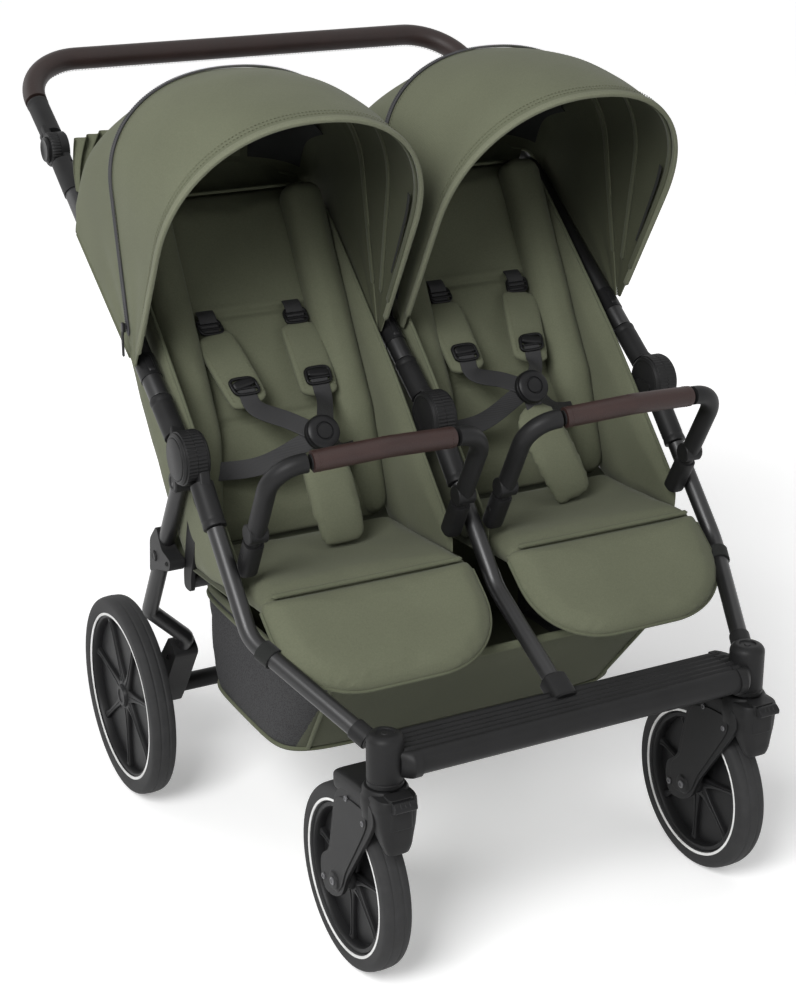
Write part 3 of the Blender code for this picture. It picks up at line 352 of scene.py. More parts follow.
def bulge(share: Array, power: float = 2.0) -> Array:
    """0 at both ends of a share from 0 to 1, and 1 in the middle."""
    return 1 - np.abs(2 * share - 1) ** power


def crowded(count: int) -> Array:
    """Shares from 0 to 1 that lie closer together towards both ends."""
    return (1 - np.cos(np.linspace(0, math.pi, count))) / 2


def pillow(
    low: Callable[[Array], Array],
    high: Callable[[Array], Array],
    normal: ArrayLike,
    thickness: float,
    counts: tuple[int, int] = (60, 40),
    edge: float = 6.0,
    fill: Callable[[Array, Array], Array] | None = None,
    flat_back: float = 0.5,
) -> Form:
    """A stuffed form between two edge lines, whose two faces meet all round its rim.

    Its half thickness is (1 - |2s - 1|^e)^.5 (1 - |2t - 1|^e)^.5 of the full one, where s runs
    along the edge lines, t from one to the other, and e is how square its rim is.

    Args:
        low: One edge line, as a function of s.
        high: The other edge line.
        normal: The direction of the thickness.
        thickness: Full thickness.
        counts: Points along and across.
        edge: How square the rim is.
        fill: An extra factor on the front, from s and t.
        flat_back: The back's share of the thickness.
    """
    s, t = crowded(counts[0]), crowded(counts[1])
    a, b = low(s)[:, None], high(s)[:, None]
    middle = a + (b - a) * t[None, :, None]
    depth = np.sqrt(np.clip(bulge(s, edge), 0, 1))[:, None]
    depth = depth * np.sqrt(np.clip(bulge(t, edge), 0, 1))[None, :]
    out = unit(np.asarray(normal, float))
    front = depth if fill is None else depth * fill(s[:, None], t[None, :])
    lift = thickness * (1 - flat_back)
    drop = thickness * flat_back
    return shell(middle + out * front[..., None] * lift, middle - out * depth[..., None] * drop)


def stitches(
    path: Array,
    out: Array,
    length: float = 0.003,
    pitch: float = 0.0048,
    thick: float = 0.00045,
) -> Form:
    """A row of sewn stitches: short six-sided grains that lie along a line, a pitch apart.

    Args:
        path: Points of the seam on the surface.
        out: The surface's outward direction at each point, or one for all.
        length: Length of a stitch.
        pitch: Distance from one stitch to the next.
        thick: Radius of the thread.
    """
    steps = np.linalg.norm(np.diff(path, axis=0), axis=1)
    along = np.concatenate([[0], np.cumsum(steps)])
    want = np.arange(pitch / 2, along[-1], pitch)
    out = np.broadcast_to(np.asarray(out, float), path.shape)
    middle = np.stack([np.interp(want, along, path[:, k]) for k in range(3)], -1)
    up = unit(np.stack([np.interp(want, along, out[:, k]) for k in range(3)], -1))
    slope = np.gradient(path, along, axis=0)
    run = np.stack([np.interp(want, along, slope[:, k]) for k in range(3)], -1)
    run = unit(run)
    across = np.cross(up, run)
    places = np.array([-0.5, -0.3, 0.3, 0.5]) * length
    sizes = np.array([0.25, 1.0, 1.0, 0.25]) * thick
    turn = np.arange(6) * math.tau / 6
    ring = across[:, None, None] * np.cos(turn)[None, None, :, None]
    ring = ring + up[:, None, None] * np.sin(turn)[None, None, :, None]
    rings = (
        middle[:, None, None]
        + run[:, None, None] * places[None, :, None, None]
        + ring * sizes[None, :, None, None]
    )
    one = grid(rings[0], wrap_u=True, caps=True)
    size = len(one.points)
    faces = [[index + size * k for index in face] for k in range(len(want)) for face in one.faces]
    return Form(rings.reshape(-1, 3), faces)


def wobble(points: Array, size: float, seed: float) -> Array:
    """A smooth uneven number from -1 to 1 at each point, from sines of unlike length."""
    x, y, z = (points[..., k] / size for k in range(3))
    first = np.sin(x * 1.7 + y * 2.3 + seed) * np.cos(z * 1.9 - y * 1.1 + seed * 1.7)
    second = np.sin(x * 4.1 - z * 3.7 + seed * 2.3) * np.cos(y * 4.9 + seed * 0.7)
    return 0.65 * first + 0.35 * second


# Pieces.


def to_object(name: str, form: Form, sharp: float = 40.0) -> bpy.types.Object:
    """A mesh object from a surface, with doubles merged and faces pointing out.

    Args:
        name: The piece's name.
        form: Its surface, with Y from the hinge.
        sharp: Edges past this angle, in degrees, stay sharp.

    Returns:
        The object, at the origin with its place in its mesh.
    """
    mesh = bpy.data.meshes.new(name)
    mesh.from_pydata((form.points + [0.0, HINGE_Y, 0.0]).tolist(), [], form.faces)
    bm = bmesh.new()
    bm.from_mesh(mesh)
    bmesh.ops.remove_doubles(bm, verts=bm.verts, dist=2e-6)
    bmesh.ops.dissolve_degenerate(bm, edges=bm.edges, dist=1e-6)
    bmesh.ops.recalc_face_normals(bm, faces=bm.faces)
    bm.to_mesh(mesh)
    bm.free()
    mesh.shade_smooth()
    mesh.set_sharp_from_angle(angle=math.radians(sharp))
    made = bpy.data.objects.new(name, mesh)
    bpy.context.scene.collection.objects.link(made)
    return made


def bevel(obj: bpy.types.Object, width: float, segments: int = 3) -> bpy.types.Object:
    """Rounds a piece's hard edges."""
    step = obj.modifiers.new("rounded edges", "BEVEL")
    step.width = width
    step.segments = segments
    step.limit_method = "ANGLE"
    step.angle_limit = math.radians(38)
    step.use_clamp_overlap = True
    return obj


def subdivide(obj: bpy.types.Object, levels: int = 1) -> bpy.types.Object:
    """Rounds a piece with subdivision, the same in view and render."""
    step = obj.modifiers.new("rounding", "SUBSURF")
    step.levels = levels
    step.render_levels = levels
    return obj


def dress(
    obj: bpy.types.Object,
    finish: "Finish",
    body: str,
    replaces: Sequence[str] = (),
) -> bpy.types.Object:
    """Gives a piece its finish, its body, and the frame nodes that it stands for."""
    obj.data.materials.clear()
    obj.data.materials.append(finish.material())
    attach(obj, body)
    if replaces:
        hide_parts(*replaces)
    LOG.info("%s rides on %s, %d faces", obj.name, body, len(obj.data.polygons))
    return obj


# Finishes.


class Painter:
    """Adds nodes to one material and links them."""

    def __init__(self, name: str) -> None:
        """Makes the material with its shader."""
        self.material = bpy.data.materials.new(name)
        self.material.use_nodes = True
        self.tree = self.material.node_tree
        self.shader = self.tree.nodes["Principled BSDF"]
        self.place = self.node("ShaderNodeTexCoord").outputs["Object"]

    def node(self, kind: str, inputs: dict | None = None, **settings: object) -> bpy.types.Node:
        """A node with its settings, and with values or links for its inputs."""
        made = self.tree.nodes.new(kind)
        for key, value in settings.items():
            setattr(made, key, value)
        for key, value in (inputs or {}).items():
            self.feed(made.inputs[key], value)
        return made

    def feed(self, socket: bpy.types.NodeSocket, value: object) -> None:
        """Links a socket to an output, or sets its value."""
        if isinstance(value, bpy.types.NodeSocket):
            self.tree.links.new(value, socket)
        else:
            socket.default_value = value

    def noise(self, size: float, detail: float = 2.0, rough: float = 0.5) -> bpy.types.NodeSocket:
        """Uneven values from 0 to 1 whose patches are about this long."""
        inputs = {"Vector": self.place, "Scale": 1 / size, "Detail": detail, "Roughness": rough}
        return self.node("ShaderNodeTexNoise", inputs).outputs["Fac"]

    def bands(self, direction: str, period: float, warp: float = 0.0) -> bpy.types.NodeSocket:
        """Stripes across one axis, from 0 to 1, a period apart."""
        inputs = {"Vector": self.place, "Scale": 0.31416 / period, "Distortion": warp}
        return self.node("ShaderNodeTexWave", inputs, bands_direction=direction).outputs["Fac"]

    def maths(self, operation: str, *values: object) -> bpy.types.NodeSocket:
        """One sum on values or outputs."""
        inputs = dict(enumerate(values))
        return self.node("ShaderNodeMath", inputs, operation=operation).outputs[0]

    def mixed(
        self, first: bpy.types.NodeSocket, share: float, second: bpy.types.NodeSocket, rest: float
    ) -> bpy.types.NodeSocket:
        """The sum of two values, each times its own share."""
        first = self.maths("MULTIPLY", first, share)
        return self.maths("ADD", first, self.maths("MULTIPLY", second, rest))

    def ramp(
        self, value: bpy.types.NodeSocket, stops: Sequence[tuple[float, Sequence[float]]]
    ) -> bpy.types.NodeSocket:
        """Colours picked by a value, at stops of (value, colour)."""
        made = self.node("ShaderNodeValToRGB", {"Fac": value})
        elements = made.color_ramp.elements
        while len(elements) < len(stops):
            elements.new(0.5)
        for element, (at, colour) in zip(elements, stops):
            element.position = at
            element.color = (*colour, 1.0)
        return made.outputs["Color"]

    def spread(self, value: bpy.types.NodeSocket, low: float, high: float) -> bpy.types.NodeSocket:
        """A value from 0 to 1 moved to run from low to high."""
        inputs = {"Value": value, "To Min": low, "To Max": high}
        return self.node("ShaderNodeMapRange", inputs).outputs["Result"]

    def relief(self, height: bpy.types.NodeSocket, distance: float, strength: float) -> None:
        """Bump from a height."""
        inputs = {"Height": height, "Distance": distance, "Strength": strength}
        bump = self.node("ShaderNodeBump", inputs).outputs["Normal"]
        self.feed(self.shader.inputs["Normal"], bump)


def scaled(colour: Sequence[float], factor: float) -> tuple[float, ...]:
    """A colour made lighter or darker."""
    return tuple(min(1.0, channel * factor) for channel in colour)


@dataclass(frozen=True)
class Finish:
    """A finish, whose material is made once and shared by its pieces."""

    name: str
    colour: tuple[float, float, float]
    slot: str
    roughness: float = 0.5

    def material(self) -> bpy.types.Material:
        """The finish's material, made on its first use."""
        found = bpy.data.materials.get(self.name)
        if found:
            return found
        painter = Painter(self.name)
        painter.feed(painter.shader.inputs["Roughness"], self.roughness)
        self.paint(painter)
        return painter.material

    def paint(self, painter: Painter) -> None:
        """Adds the finish's own pattern."""
        raise NotImplementedError


@dataclass(frozen=True)
class Woven(Finish):
    """Woven polyester: crossing threads, a faint heather, and soft sheen."""

    roughness: float = 0.92
    thread: float = 0.0011
    heather: float = 0.14
    sheen: float = 0.07
    ribs: bool = False

    def paint(self, painter: Painter) -> None:
        """Threads cross in all three directions, so that the weave shows however a panel lies."""
        warp = painter.bands("X", self.thread, 0.4)
        weft = painter.bands("Y", self.thread, 0.4)
        rise = painter.bands("Z", self.thread, 0.4)
        cross = painter.maths("ADD", painter.maths("ADD", warp, weft), rise)
        cross = painter.maths("MULTIPLY", cross, 0.333)
        yarn = painter.noise(0.0022, 3.0, 0.7)
        cloud = painter.noise(0.11, 2.0)
        tone = painter.mixed(yarn, 0.62, cloud, 0.38)
        dark, light = scaled(self.colour, 1 - self.heather), scaled(self.colour, 1 + self.heather)
        stops = [(0.30, dark), (0.52, self.colour), (0.72, light)]
        painter.feed(painter.shader.inputs["Base Color"], painter.ramp(tone, stops))
        painter.feed(painter.shader.inputs["Roughness"], painter.spread(yarn, 0.84, 0.98))
        painter.feed(painter.shader.inputs["Sheen Weight"], self.sheen)
        painter.feed(painter.shader.inputs["Sheen Roughness"], 0.45)
        painter.feed(painter.shader.inputs["Specular IOR Level"], 0.10)
        height = painter.maths("ADD", cross, painter.maths("MULTIPLY", yarn, 0.6))
        painter.relief(height, 0.0004, 0.35)


@dataclass(frozen=True)
class NetCloth(Finish):
    """Open mesh cloth: a net of small round holes over a dark ground."""

    roughness: float = 0.8
    hole: float = 0.0024

    def paint(self, painter: Painter) -> None:
        """Holes lie at the cells of a fine regular pattern and are darker than the net."""
        inputs = {"Vector": painter.place, "Scale": 1 / self.hole, "Randomness": 1.0}
        cells = painter.node("ShaderNodeTexVoronoi", inputs).outputs["Distance"]
        cloud = painter.noise(0.09, 2.0)
        mix = painter.maths("ADD", cells, painter.maths("MULTIPLY", cloud, 0.10))
        dark, light = scaled(self.colour, 0.30), scaled(self.colour, 1.5)
        stops = [(0.18, dark), (0.42, self.colour), (0.60, light)]
        painter.feed(painter.shader.inputs["Base Color"], painter.ramp(mix, stops))
        painter.feed(painter.shader.inputs["Specular IOR Level"], 0.3)
        painter.relief(cells, 0.0006, 0.5)


@dataclass(frozen=True)
class Hide(Finish):
    """Dark brown leather-like cover: pebbled grain with worn high spots."""

    roughness: float = 0.48

    def paint(self, painter: Painter) -> None:
        """Grain cells are a millimetre wide, with finer pores on them."""
        painter.feed(painter.shader.inputs["Specular IOR Level"], 0.30)
        inputs = {"Vector": painter.place, "Scale": 850.0, "Randomness": 1.0}
        pebbles = painter.node("ShaderNodeTexVoronoi", inputs, feature="SMOOTH_F1")
        cells = pebbles.outputs["Distance"]
        pores = painter.noise(0.0009, 3.0, 0.6)
        cloud = painter.noise(0.035, 3.0)
        mix = painter.mixed(cells, 0.45, cloud, 0.55)
        dark, light = scaled(self.colour, 0.78), scaled(self.colour, 1.25)
        stops = [(0.30, dark), (0.50, self.colour), (0.70, light)]
        painter.feed(painter.shader.inputs["Base Color"], painter.ramp(mix, stops))
        painter.feed(painter.shader.inputs["Roughness"], painter.spread(cloud, 0.40, 0.58))
        height = painter.maths("ADD", cells, painter.maths("MULTIPLY", pores, 0.4))
        painter.relief(height, 0.0003, 0.4)


@dataclass(frozen=True)
class Moulded(Finish):
    """Moulded plastic: fine spark-eroded grain and faint handling marks."""

    grain: float = 0.0007
    depth: float = 0.00012

    def paint(self, painter: Painter) -> None:
        """Grain changes the height, and slow patches change the colour and gloss a little."""
        painter.feed(painter.shader.inputs["Specular IOR Level"], 0.15)
        grain = painter.noise(self.grain, 3.0, 0.6)
        cloud = painter.noise(0.05, 3.0)
        stops = [(0.35, scaled(self.colour, 0.88)), (0.65, scaled(self.colour, 1.14))]
        painter.feed(painter.shader.inputs["Base Color"], painter.ramp(cloud, stops))
        low, high = self.roughness - 0.06, self.roughness + 0.08
        painter.feed(painter.shader.inputs["Roughness"], painter.spread(cloud, low, high))
        painter.relief(grain, self.depth, 0.5)


@dataclass(frozen=True)
class Coated(Finish):
    """Satin powder coat on metal: slight orange peel under a clear skin."""

    roughness: float = 0.36

    def paint(self, painter: Painter) -> None:
        """The peel is a millimetre or two across and very shallow."""
        peel = painter.noise(0.0016, 2.0, 0.5)
        cloud = painter.noise(0.06, 2.0)
        stops = [(0.3, scaled(self.colour, 0.9)), (0.7, scaled(self.colour, 1.12))]
        painter.feed(painter.shader.inputs["Base Color"], painter.ramp(cloud, stops))
        painter.feed(painter.shader.inputs["Roughness"], painter.spread(cloud, 0.32, 0.42))
        painter.feed(painter.shader.inputs["Metallic"], 0.15)
        painter.relief(peel, 0.00008, 0.35)


@dataclass(frozen=True)
class Rubber(Finish):
    """Matt black tyre foam with dust-grey scuffs."""

    roughness: float = 0.78

    def paint(self, painter: Painter) -> None:
        """Scuffs are patches of slightly greyer, rougher skin."""
        grain = painter.noise(0.0012, 4.0, 0.65)
        patch = painter.noise(0.02, 4.0, 0.6)
        stops = [(0.42, self.colour), (0.70, scaled(self.colour, 1.5))]
        painter.feed(painter.shader.inputs["Base Color"], painter.ramp(patch, stops))
        painter.feed(painter.shader.inputs["Roughness"], painter.spread(patch, 0.68, 0.88))
        painter.feed(painter.shader.inputs["Specular IOR Level"], 0.35)
        painter.relief(grain, 0.0002, 0.4)


@dataclass(frozen=True)
class Webbing(Finish):
    """Woven strap: close ribs across its run."""

    roughness: float = 0.7

    def paint(self, painter: Painter) -> None:
        """Ribs cross in two directions a little over a millimetre apart."""
        ribs = painter.bands("DIAGONAL", 0.0013, 0.2)
        yarn = painter.noise(0.0014, 3.0, 0.6)
        mix = painter.mixed(ribs, 0.6, yarn, 0.4)
        stops = [(0.2, scaled(self.colour, 0.6)), (0.8, scaled(self.colour, 1.5))]
        painter.feed(painter.shader.inputs["Base Color"], painter.ramp(mix, stops))
        painter.relief(mix, 0.0004, 0.5)


OLIVE = Woven("olive_weave", (0.122, 0.130, 0.087), "olive_fabric")
OLIVE_LINING = Woven("olive_lining", (0.074, 0.080, 0.052), "olive_fabric", sheen=0.12)
# Painted shade: a darker olive for the faces inside the canopies.
OLIVE_PAINTED_SHADE = Woven("olive_inside", (0.058, 0.062, 0.040), "olive_fabric", sheen=0.03)
OLIVE_PIPING = Woven("olive_piping", (0.104, 0.112, 0.074), "olive_fabric", thread=0.0008)
OLIVE_BASKET = Woven("basket_weave", (0.076, 0.081, 0.053), "basket_fabric")
# Painted highlight: a lighter olive for the canopy's rim hem band, where light catches it.
OLIVE_HEM_HIGHLIGHT = Woven("olive_hem", (0.150, 0.158, 0.110), "olive_fabric", thread=0.0008)
OLIVE_THREAD = Woven("sewing_thread", (0.120, 0.126, 0.080), "olive_fabric", thread=0.0006)
# Near-black cloth for the basket's loops, and painted shade for the dark patches inside the
# canopies.
DARK_CLOTH_AND_SHADE = Woven("dark_cloth", (0.020, 0.021, 0.020), "olive_fabric", sheen=0.08)
NET = NetCloth("basket_net", (0.021, 0.021, 0.022), "basket_fabric")
STRAP = Webbing("black_webbing", (0.0120, 0.0120, 0.0128), "black_plastic")
HIDE = Hide("brown_hide", (0.0265, 0.0130, 0.0112), "leather")
DARK_HIDE = Hide("dark_hide", (0.0165, 0.0088, 0.0076), "leather")
HIDE_THREAD = Hide("brown_thread", (0.030, 0.015, 0.012), "leather")
PLASTIC = Moulded("black_moulding", (0.0115, 0.0115, 0.0118), "black_plastic", 0.46)
ZIP = Moulded("zip_grey", (0.050, 0.050, 0.053), "olive_fabric", 0.55)
SMOOTH_PLASTIC = Moulded(
    "smooth_moulding", (0.0095, 0.0095, 0.0100), "black_plastic", 0.34, depth=0.00005
)
PAINT = Coated("satin_paint", (0.0100, 0.0100, 0.0104), "frame_paint")
TYRE = Rubber("tyre_foam", (0.0165, 0.0165, 0.0170), "tyre")
RIM = Moulded("rim_moulding", (0.0110, 0.0110, 0.0115), "rim", 0.42)
WHITE = Moulded("white_band", (0.72, 0.72, 0.71), "tyre", 0.5)
STEEL = Coated("screw_steel", (0.11, 0.11, 0.115), "frame_paint")


# Frame.

UPPER_ANGLE = math.radians(35.5)
UPPER_DROP = 0.0071
UPPER_LENGTH = 0.5465
FRONT_BEND = (-0.167, HINGE_Z - 0.1835)
UPPER_X, FRONT_X, HINGE_X = 0.352, 0.344, 0.350
SEAT_X = 0.175
GAP = 0.0003
RUNS = (("left", -1.0), ("centre", 0.0), ("right", 1.0))


def upper_line(distance: float, lift: float = 0.0) -> tuple[float, float]:
    """(y, z) up the axis of the upper tubes, lifted square to them."""
    c, s = math.cos(UPPER_ANGLE), math.sin(UPPER_ANGLE)
    off = UPPER_DROP - lift
    return distance * c + off * s, HINGE_Z + distance * s - off * c


def front_line(distance: float) -> tuple[float, float]:
    """(y, z) down the first stretch of the front tubes."""
    run = unit(np.array([FRONT_BEND[0], FRONT_BEND[1] - HINGE_Z])) * distance
    return float(run[0]), HINGE_Z + float(run[1])


def at_x(x: float, place: tuple[float, float]) -> Array:
    """The point at x with this (y, z)."""
    return np.array([x, *place])


def fluted(form: Form, centre: ArrayLike, beyond: float, count: int, depth: float) -> Form:
    """Cuts grip flutes round X: points past a radius move in by depth (1 + cos(count turn)) / 2."""
    points = form.points.copy()
    offset = points[:, 1:] - np.asarray(centre, float)[1:]
    radius = np.linalg.norm(offset, axis=1)
    turn = np.arctan2(offset[:, 1], offset[:, 0])
    cut = depth * (1 + np.cos(count * turn)) / 2 * (radius > beyond)
    points[:, 1:] -= offset / np.maximum(radius, 1e-9)[:, None] * cut[:, None]
    return Form(points, form.faces)


def button_head(x: float, out: float, y: float, z: float, radius: float, height: float) -> Form:
    """A low round head on a face whose outside is towards out along X."""
    profile = [
        (0.0, height * 0.86),
        (radius * 0.55, height * 0.9),
        (radius * 0.62, height),
        (radius - height * 0.5, height),
        (radius, height * 0.5),
        (radius, -0.001),
        (0.0, -0.001),
    ]
    return lathe(profile, (x, y, z), (out, 0, 0), 40)


def screw(x: float, out: float, y: float, z: float, radius: float = 0.0032) -> Form:
    """A cap screw with a six-sided socket."""
    ring = [(radius, -0.0005), (radius, 0.0012), (radius * 0.8, 0.0018), (radius * 0.55, 0.0018)]
    head = lathe([*ring, (radius * 0.5, 0.0004), (0.0, 0.0004)], (x, y, z), (out, 0, 0), 18)
    return head


@dataclass
class Wheel:
    """A foam tyre with a white side ring on a seven-spoked moulded rim."""

    kind: str
    side: Side
    centre: tuple[float, float, float]
    width: float
    body: str
    depth: float = 0.024
    band: float = 0.008
    hub: float = 0.017
    spokes: int = 7
    seen: int = 1

    def build(self) -> None:
        """Makes tyre, ring and rim."""
        s = self.side.label
        foam = to_object(f"{self.kind}_tyre_foam_{s}", self.tyre())
        tyre = dress(foam, TYRE, self.body, [f"{self.kind}_tyre_{s}"])
        ring = to_object(f"{self.kind}_tyre_ring_{s}", self.rings())
        dress(ring, WHITE, self.body)
        rim = to_object(f"{self.kind}_rim_moulding_{s}", self.rim(), 50)
        dress(bevel(rim, 0.0009, 2), RIM, self.body, [f"{self.kind}_rim_{s}"])

    def sidewall(self, radius: float) -> float:
        """Half width of the tyre at a radius: full at the shoulder, a little less at the bead."""
        outer = self.centre[2]
        share = (outer - radius) / self.depth
        return self.width / 2 * (1 - 0.10 * max(0.0, share - 0.45) ** 2 * 4)

    def tyre(self) -> Form:
        """A turned profile: round shoulders, a soft sidewall, and two tread grooves."""
        outer, half = self.centre[2], self.width / 2
        seat = outer - self.depth
        turn = np.linspace(-math.pi / 2, math.pi / 2, 41)
        across = half * np.sign(np.sin(turn)) * np.abs(np.sin(turn)) ** 0.72
        crown = outer - 0.011 * (1 - np.cos(turn) ** 0.62)
        groove = 0.0009 * (np.exp(-(((np.abs(across) - half * 0.34) / 0.0011) ** 2)))
        tread = np.stack([crown - groove, across], -1)
        wall_r = np.linspace(outer - 0.012, seat, 9)[1:]
        wall = np.array([[r, self.sidewall(r)] for r in wall_r])
        wall[-1, 1] -= 0.0016
        profile = np.vstack([wall[::-1] * [1, -1], tread, wall])
        return lathe(profile, self.centre, Axis.X, 120, ring=True)

    def rings(self) -> Form:
        """The white rings let into both sidewalls."""
        radius = self.centre[2] * 0.829
        made = []
        for out in (-1, 1):
            face = out * (self.sidewall(radius) + 0.00035)
            profile = [
                (radius - 0.0021, face - out * 0.0012),
                (radius - 0.0018, face),
                (radius + 0.0018, face),
                (radius + 0.0021, face - out * 0.0012),
            ]
            made.append(lathe(profile, self.centre, Axis.X, 120, ring=True))
        return joined(made)

    def rim(self) -> Form:
        """Band, hub and spokes; a spoke is 16 mm wide at both ends and 9 mm between."""
        x, y, radius = self.centre
        half = self.width / 2
        band = radius - self.depth - GAP
        inner = band - self.band
        flat = half - 0.0045
        lip = 0.0022
        ring = [
            (band, -flat + 0.001),
            (band, flat - 0.001),
            (band - 0.001, flat),
            (inner + lip, flat),
            (inner, flat - lip * 1.5),
            (inner + 0.0006, 0.0),
            (inner, -flat + lip * 1.5),
            (inner + lip, -flat),
            (band - 0.001, -flat),
        ]
        parts = [lathe(ring, self.centre, Axis.X, 112, ring=True)]
        hub = [
            (0.0, -flat),
            (self.hub * 0.72, -flat),
            (self.hub, -flat * 0.7),
            (self.hub, flat * 0.7),
            (self.hub * 0.86, flat),
            (self.hub * 0.62, flat),
            (self.hub * 0.56, flat - 0.0015),
            (0.0, flat - 0.0015),
        ]
        parts.append(lathe(hub, self.centre, (self.seen, 0, 0), 48))
        web = [(self.hub * 0.8, -0.0011), (inner + 0.002, -0.0011)]
        web += [(inner + 0.002, 0.0011), (self.hub * 0.8, 0.0011)]
        parts.append(lathe(web, self.centre, Axis.X, 84, ring=True))
        share = np.linspace(0, 1, 15)
        reach = self.hub * 0.8 + (inner + 0.002 - self.hub * 0.8) * share
        wide = 0.0034 + 0.0030 * (2 * share - 1) ** 4 + 0.0050 * (1 - share) ** 3
        deep = 0.0068 + 0.0026 * (2 * share - 1) ** 4
        outline = rounded_box(1.0, 1.0, 5.0, 20)
        for number in range(self.spokes):
            turn = math.tau * number / self.spokes + 0.22
            run = np.array([0.0, math.cos(turn), math.sin(turn)])
            path = np.array([x, y, radius]) + reach[:, None] * run
            section = outline[None] * np.stack([wide, deep], -1)[:, None]
            parts.append(sweep(path, section, (1, 0, 0)))
            rib = rounded_box(0.0011, 0.0008, 4.0, 12)
            high = path[1:-1] + np.array([self.seen, 0, 0]) * (deep[1:-1, None] + 0.0002)
            parts.append(sweep(high, rib, (1, 0, 0)))
        return joined(parts)


CHIN_AT = [0, 0.18, 0.45, 0.75, 1]
CHIN_WIDE = [0.0130, 0.0185, 0.0240, 0.0275, 0.0262]
CHIN_DEEP = [0.0070, 0.0115, 0.0200, 0.0262, 0.0262]
CHIN_AHEAD = [0.0300, 0.0285, 0.0220, 0.0165, 0.0160]


@dataclass
class Castor:
    """Front castor: post, swivelling fork with its lock lever, and wheel."""

    side: Side
    x: float = 0.260
    y: float = -0.360
    trail: float = 0.082
    wheel_r: float = 0.120
    tyre_w: float = 0.038
    crown_low: float = 0.246
    post_low: float = 0.288
    post_top: float = 0.355
    post_r: float = 0.0225

    def build(self) -> None:
        """Makes the castor's pieces."""
        s = self.side.label
        px = self.side.value * self.x
        post = to_object(f"castor_post_housing_{s}", self.post(px))
        dress(post, PLASTIC, "chassis", [f"castor_post_{s}"])
        fork = to_object(f"castor_fork_housing_{s}", self.fork(px), 50)
        dress(bevel(fork, 0.0012), PLASTIC, f"castor_{s}", [f"castor_fork_{s}"])
        bolts = to_object(f"castor_fork_screws_{s}", self.bolts(px))
        dress(bolts, STEEL, f"castor_{s}")
        lock = to_object(f"castor_lock_lever_{s}", self.lock(px), 50)
        dress(bevel(lock, 0.0010), SMOOTH_PLASTIC, f"castor_lock_{s}", [f"castor_lock_{s}"])
        centre = (px, self.y + self.trail, self.wheel_r)
        Wheel("front", self.side, centre, self.tyre_w, f"front_wheel_{s}", seen=-1).build()

    def post(self, px: float) -> Form:
        """A turned post: rounded top with a recessed disc, and two fine rings at its foot."""
        r, top, low = self.post_r, self.post_top, self.post_low
        turn = np.linspace(0, math.pi / 2, 9)
        dome = np.stack([r - 0.010 + 0.010 * np.cos(turn), top - 0.010 + 0.010 * np.sin(turn)], -1)
        profile = [
            (0.0, low),
            (r - 0.0015, low),
            (r, low + 0.0015),
            (r, low + 0.006),
            (r - 0.0009, low + 0.0068),
            (r - 0.0009, low + 0.0082),
            (r, low + 0.009),
            *dome.tolist(),
            (r * 0.50, top),
            (r * 0.47, top - 0.0018),
            (r * 0.20, top - 0.0018),
            (r * 0.16, top - 0.0008),
            (0.0, top - 0.0008),
        ]
        return lathe(profile, (px, self.y, 0), Axis.Z, 64)

    def fork(self, px: float) -> Form:
        """Crown, bridge over the tyre, two legs that swell towards the hub, and their bosses."""
        y, low, top = self.y, self.crown_low, self.post_low - GAP
        axle_y, axle_z = y + self.trail, self.wheel_r
        r = 0.0298
        crown = [
            (0.0, low),
            (r - 0.003, low),
            (r, low + 0.004),
            (r, top - 0.012),
            (r - 0.002, top - 0.009),
            (r - 0.002, top - 0.004),
            (r - 0.0045, top),
            (0.0, top),
        ]
        parts = [lathe(crown, (px, y, 0), Axis.Z, 64)]
        nose = np.array([[px, y - 0.0325, low + 0.001], [px, y - 0.0325, top]])
        parts.append(sweep(nose, rounded_box(0.0158, 0.011, 5.0), (0, 1, 0)))
        gap = self.tyre_w / 2 + 0.003
        outer = gap + 0.006
        saddle = curve_through(
            [
                (px, y - 0.010, low + 0.019),
                (px, y + 0.022, low + 0.019),
                (px, y + 0.056, low + 0.017),
                (px, y + 0.090, low + 0.013),
            ],
            24,
        )
        depth = np.linspace(0.0178, 0.0125, 24)
        halves = np.stack([np.full(24, outer), depth], -1)
        section = rounded_box(1.0, 1.0, 5.0)[None] * halves[:, None]
        parts.append(sweep(saddle, section, (0, 0, 1), dome=0.006))
        cheek = softened(
            [
                (y + 0.0713, low + 0.0090),
                (y + 0.0300, low + 0.0215),
                (y - 0.0172, low + 0.0255),
                (y - 0.0250, low + 0.0060),
                (y - 0.0110, low - 0.0180),
                (y + 0.0500, axle_z + 0.0200),
                (y + 0.0640, axle_z - 0.0120),
                (y + 0.0860, axle_z - 0.0260),
                (y + 0.1130, axle_z - 0.0300),
                (y + 0.1250, axle_z - 0.0080),
                (y + 0.1240, axle_z + 0.0150),
                (y + 0.1000, axle_z + 0.0350),
                (y + 0.0830, low - 0.0100),
            ],
            0.010,
        )
        middle = cheek.mean(0)
        share = np.linspace(0, 1, 24)
        size = [np.interp(share, CHIN_AT, row) for row in (CHIN_WIDE, CHIN_DEEP)]
        ahead = np.interp(share, CHIN_AT, CHIN_AHEAD)
        chin_z = low - 0.0390 + (top - 0.0008 - low + 0.0390) * share
        chin = np.column_stack([np.full(24, px), y - ahead, chin_z])
        section = rounded_box(1.0, 1.0, 3.4, 44)[None] * np.stack(size, -1)[:, None]
        parts.append(sweep(chin, section, (0, 1, 0), dome=0.005))
        for out in (-1, 1):
            parts.append(plate(cheek, px + out * gap, px + out * outer))
            raised = middle + (cheek - middle) * [0.80, 0.86]
            parts.append(plate(raised, px + out * outer, px + out * (outer + 0.0016)))
            hub = [
                (0.0, gap - 0.0034),
                (0.0105, gap - 0.0034),
                (0.0105, gap),
                (0.0150, gap),
                (0.0150, outer - 0.001),
                (0.0140, outer + 0.0018),
                (0.0125, outer + 0.0020),
                (0.0115, outer + 0.0036),
                (0.0085, outer + 0.0040),
                (0.0, outer + 0.0040),
            ]
            parts.append(lathe(hub, (px, axle_y, axle_z), (out, 0, 0), 48))
        return joined(parts)

